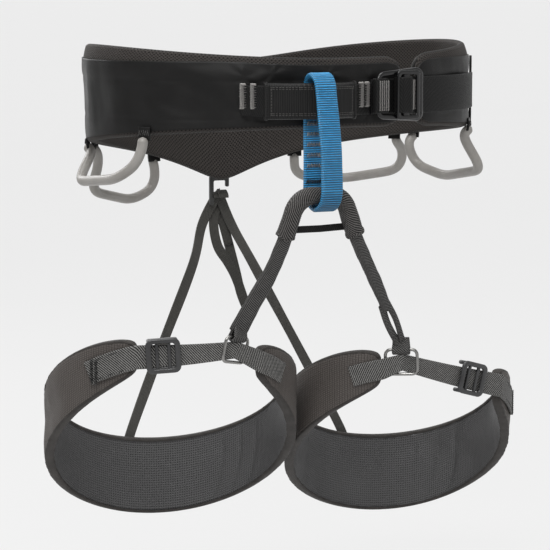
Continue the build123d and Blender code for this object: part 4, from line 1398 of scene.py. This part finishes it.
def riser(name, leg, layer, end_angle):
    """Flat elastic from round the hook's lower bar to the back of a leg pad."""
    end = np.array(end_angle)
    outward = leg_normal(leg, end)
    top = HOOK + vec(2.0 * leg["side"], 2.8 + layer * (RISER_T + 0.4), -10.2)
    half = leg_height(leg, end) / 2
    edge = leg_point(leg, end, RISER_T + 0.8, half + 3)
    sewn = leg_point(leg, end, 2.0, half - 15)
    way = edge - top
    bow = vec(leg["side"] * 1.5, 0, 0)
    over = [top + vec(0, -5.4 - 2 * layer * (RISER_T + 0.4), -1.0),
            top + vec(0, -5.0 - 2 * layer * (RISER_T + 0.4), 1.4),
            top + vec(0, -2.6 - layer * (RISER_T + 0.4), 3.0 + 1.6 * layer), top + vec(0, -0.2, 2.2)]
    points = over + [top, top + way * 0.13 - BACKWARD * way[1] * 0.13, top + way * 0.3 - bow,
                     top + way * 0.65, edge,
                     (edge + sewn) / 2 + outward * 0.3, sewn]
    through = [vec(0, -1, 0.2), vec(0, -0.9, 0.4), vec(0, 0, 1), vec(0, 0.8, 0.6), BACKWARD, BACKWARD,
               BACKWARD * 0.7 + outward * 0.3, BACKWARD * 0.3 + outward * 0.7, outward, outward, outward]
    path, facing = spline(np.array(points), 0.7, np.array(through))
    facing = unit(facing)
    t = tangents(path)
    across = unit(np.cross(t, facing))
    facing = unit(np.cross(across, t))
    run = lengths(path)
    width = RISER_W + 0.35 * np.sin(run / 13.0)
    strap = joined(f"riser_elastic_{name}",
                   [strap_parts(path, across, facing, width, RISER_T, rib=(0.8, 0.04, 0.0), selvedge=0.08)],
                   LOOK["elastic"])
    sew = leg_point(leg, end, 3.1, half - 10)
    tack = joined(f"riser_tack_{name}",
                  [zigzag_parts(sew, unit(np.cross(UP, outward)), UP, outward, 7.4, 2.4, 0.6, 0.34)],
                  LOOK["dark_thread"])
    return strap, tack, top, edge


riser_right, riser_tack_right, riser_top_r, riser_edge_r = riser("right", LEGS["right"], 0, 111.0)
riser_left, riser_tack_left, riser_top_l, riser_edge_l = riser("left", LEGS["left"], 1, 107.0)

tail_top = HOOK + vec(1.5, 7.4, -14.6)
tail_turn = unit(vec(1, 0, 0.28))
front_layer = spline(np.array([tail_top + vec(*p) for p in ((0, -6.0, 3.0), (0.5, -2.5, 3.6),
                                                            (1.0, 1.4, -2.0), (9, 0.6, -32), (15.5, -1, -58),
                                                            (20, -2.6, -78), (26, -4, -94))]), 0.7)
back_layer = spline(np.array([tail_top + vec(*p) for p in ((-1.5, 0.2, -4), (-4.5, -2.0, -20),
                                                           (-1.0, -2.6, -38), (8.5, -2.2, -52),
                                                           (16, -2.4, -66), (24.5, -5.2, -92))]), 0.7)
parts = []
for line in (front_layer, back_layer):
    t = tangents(line)
    across = unit(np.cross(np.broadcast_to(BACKWARD, line.shape), t))
    facing = unit(np.cross(t, across))
    parts.append(strap_parts(line, across, facing, RISER_W + 0 * lengths(line), RISER_T,
                             rib=(0.8, 0.04, 0.0), selvedge=0.08))
tail = joined("riser_doubled_tail", parts, LOOK["elastic"])
at = front_layer[int(len(front_layer) * 0.45)]
tail_tack = joined("riser_tail_tack",
                   [zigzag_parts(at + vec(0, -1.2, 0), tail_turn, UP, vec(0, -1, 0), 7.4, 2.0, 0.6, 0.3)],
                   LOOK["dark_thread"])

# ---------------------------------------------------------------- pad end behind the strap
a = np.linspace(-22.8, -17.2, 16)
rows = []
for k in range(31):
    share = k / 30
    low, high = pad_bottom(a) + 2.5, shell_top(a) - 0.6
    rows.append(belt_point(a, 1.9 + 0.35 * np.sin(np.pi * (a - a[0]) / (a[-1] - a[0])) + 0.12 * math.sin(9 * share), low + (high - low) * share))
band = outward_sheet(np.stack(rows, 1), belt_normal(np.array(-20.0)))
side_band = thick_sheet("belt_side_tape", band, 1.2, LOOK["tape"])

# ---------------------------------------------------------------- pieces on their bodies; risers and bridge pieces stay in world space
ROOT = "waistbelt"


def on(obj, body, slot, *nodes):
    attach(obj, body)
    if nodes:
        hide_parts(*nodes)
    return obj


on(belt_cover, ROOT, "belt_shell", "belt_outer_shell", "belt_foam_core", "belt_core_webbing")
on(belt_lining, ROOT, "belt_lining", "belt_inner_mesh")
on(belt_tape, ROOT, "binding", "belt_edge_binding")
on(side_band, ROOT, "binding", "belt_side_binding")
on(tie_strap, ROOT, "black_webbing", "tie_in_webbing")
on(tie_sleeve, ROOT, "black_webbing", "tie_in_sleeve")
on(tie_stitches, ROOT, "thread")
on(tie_tacks, ROOT, "thread", "tie_in_bar_tacks")
on(waist_strap, ROOT, "black_webbing", "waist_strap")
on(anchor_strap, ROOT, "black_webbing", "buckle_anchor_webbing")
on(anchor_fold, "buckle", "black_webbing")
on(waist_fold, "buckle_plate", "black_webbing")
on(anchor_threads, "buckle", "thread")
on(fold_threads, "buckle_plate", "thread")
on(buckle_frame, "buckle", "buckle_metal", "buckle_frame")
on(buckle_plate, "buckle_plate", "buckle_metal", "buckle_slide_plate")
on(belay, "belay_loop", "loop_webbing", "belay_loop")
on(belay_tacks, "belay_loop", "thread", "belay_loop_bar_tacks")
on(black_tack, "belay_loop", "thread")
for node, obj in gear_things.items():
    on(obj, node, "gear_loop_plastic", node)
on(gear_tabs, ROOT, "black_webbing", "gear_loop_tabs")
on(gear_threads, ROOT, "thread")
on(hook, ROOT, "hardware_plastic", "riser_hook")
on(hook_tab, ROOT, "black_webbing", "rear_hook_tab")
on(hook_tack, ROOT, "thread")
on(tail, ROOT, "elastic", "riser_adjust_tail")
on(tail_tack, ROOT, "thread")
for name, things in leg_things.items():
    body = f"leg_loop_{name}"
    on(things["cover"], body, "leg_shell", f"leg_outer_shell_{name}", f"leg_foam_core_{name}")
    on(things["lining"], body, "leg_lining", f"leg_inner_mesh_{name}")
    on(things["tape"], body, "binding", f"leg_edge_binding_{name}")
    on(things["strap"], body, "leg_webbing", f"leg_webbing_{name}")
    on(things["tacks"], body, "thread", f"leg_webbing_bar_tack_{name}")
    on(things["ring"], body, "ring_metal", f"leg_ring_{name}")
    on(things["slider"], f"slider_{name}", "hardware_plastic", f"leg_slider_{name}")
for obj, name, top_point, edge_point in ((riser_right, "right", riser_top_r, riser_edge_r),
                                         (riser_left, "left", riser_top_l, riser_edge_l)):
    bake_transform(obj)
    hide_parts(f"riser_strap_{name}")
on(riser_tack_right, "leg_loop_right", "thread")
on(riser_tack_left, "leg_loop_left", "thread")
for obj, slot_name, nodes in ((bridge_core, "leg_webbing", ["leg_bridge"]),
                              (bridge_second, "leg_webbing", []),
                              (bridge_strands, "leg_webbing", []),
                              (bridge_sleeve, "black_webbing", ["bridge_sleeve"]),
                              (spacer, "leg_webbing", ["bridge_spacer_strap"])):
    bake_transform(obj)
    if nodes:
        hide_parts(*nodes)
on(bridge_feet, ROOT, "leg_webbing")

# ---------------------------------------------------------------- studio
low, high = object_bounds()
FLOOR_DROP = 45.0      # the harness hangs this far above the floor
FLOOR_HALF = 40000.0   # the floor runs to the horizon
FLOOR_GLOW = 0.785     # the floor lights itself, so it shows almost no shadow
floor_z = low[2] / MM - FLOOR_DROP
floor_look = Look("studio_floor")
floor_look.bump(floor_look.noise(6.0), 0.5, 0.05)
floor_look.bsdf.inputs["Emission Color"].default_value = (1, 1, 1, 1)
floor_look.bsdf.inputs["Emission Strength"].default_value = FLOOR_GLOW
floor_material = floor_look.done(floor_look.mix(floor_look.noise(2.0), (0.055, 0.055, 0.055),
                                                (0.065, 0.065, 0.065)), 0.9, specular=0.1)
xs = np.linspace(-FLOOR_HALF, FLOOR_HALF, 25)
P = np.stack([np.stack([np.full(25, x), xs, np.full(25, floor_z)], -1) for x in xs])
floor = joined("studio_floor", [grid_parts(P, flat_coords(P))], floor_material)

bpy.context.scene.view_settings.view_transform = "Standard"
bpy.context.scene.view_settings.look = "None"
# The room is brighter toward one fixed direction, the one that the photograph looks along.
WORLD_FRONT, WORLD_BEHIND = 0.34, 0.839
BRIGHT_WAY = (0.42, 0.90, -0.12)
world = bpy.data.worlds.new("studio")
bpy.context.scene.world = world
world.use_nodes = True
nodes, links = world.node_tree.nodes, world.node_tree.links
facing_away = nodes.new("ShaderNodeVectorMath")
facing_away.operation = "DOT_PRODUCT"
links.new(nodes.new("ShaderNodeTexCoord").outputs["Generated"], facing_away.inputs[0])
facing_away.inputs[1].default_value = BRIGHT_WAY
glow = nodes.new("ShaderNodeMapRange")
links.new(facing_away.outputs["Value"], glow.inputs[0])
for socket, value in zip(glow.inputs[1:5], (0.1, 0.9, WORLD_FRONT, WORLD_BEHIND)):
    socket.default_value = value
nodes["Background"].inputs[0].default_value = (1, 1, 1, 1)
links.new(glow.outputs[0], nodes["Background"].inputs[1])


def lamp(name, where, aim, power, size, colour=(1, 1, 1)):
    data = bpy.data.lights.new(name, "AREA")
    data.shape = "RECTANGLE"
    data.size, data.size_y = size
    data.energy = power
    data.color = colour
    obj = bpy.data.objects.new(name, data)
    bpy.context.scene.collection.objects.link(obj)
    obj.location = where
    obj.rotation_mode = "QUATERNION"
    obj.rotation_quaternion = (Vector(aim) - Vector(where)).to_track_quat("-Z", "Y")
    return obj


AIM = (0, 0, -0.14)
lamp("key_light", (-0.9, -1.3, 1.5), AIM, 30.0, (1.2, 1.0))
lamp("fill_light", (1.5, -1.2, 0.5), AIM, 2.0, (1.4, 1.4))
lamp("top_light", (-0.1, -0.1, 1.7), AIM, 22.0, (1.4, 1.2))
lamp("rear_light", (-0.4, 1.3, 0.7), AIM, 9.0, (1.2, 0.8))

camera_data = bpy.data.cameras.new("camera")
camera_data.sensor_width = 36.0
camera_data.lens = 165.7
camera_data.dof.use_dof = False
camera = bpy.data.objects.new("camera", camera_data)
bpy.context.scene.collection.objects.link(camera)
azimuth, elevation, distance = math.radians(-25), math.radians(7), 2.0
target = Vector((-0.0022, 0, -0.144))
back_way = Vector((math.sin(azimuth) * math.cos(elevation), -math.cos(azimuth) * math.cos(elevation),
                   math.sin(elevation)))
camera.location = target + back_way * distance
camera.rotation_mode = "QUATERNION"
camera.rotation_quaternion = (-back_way).to_track_quat("-Z", "Y")
bpy.context.scene.camera = camera
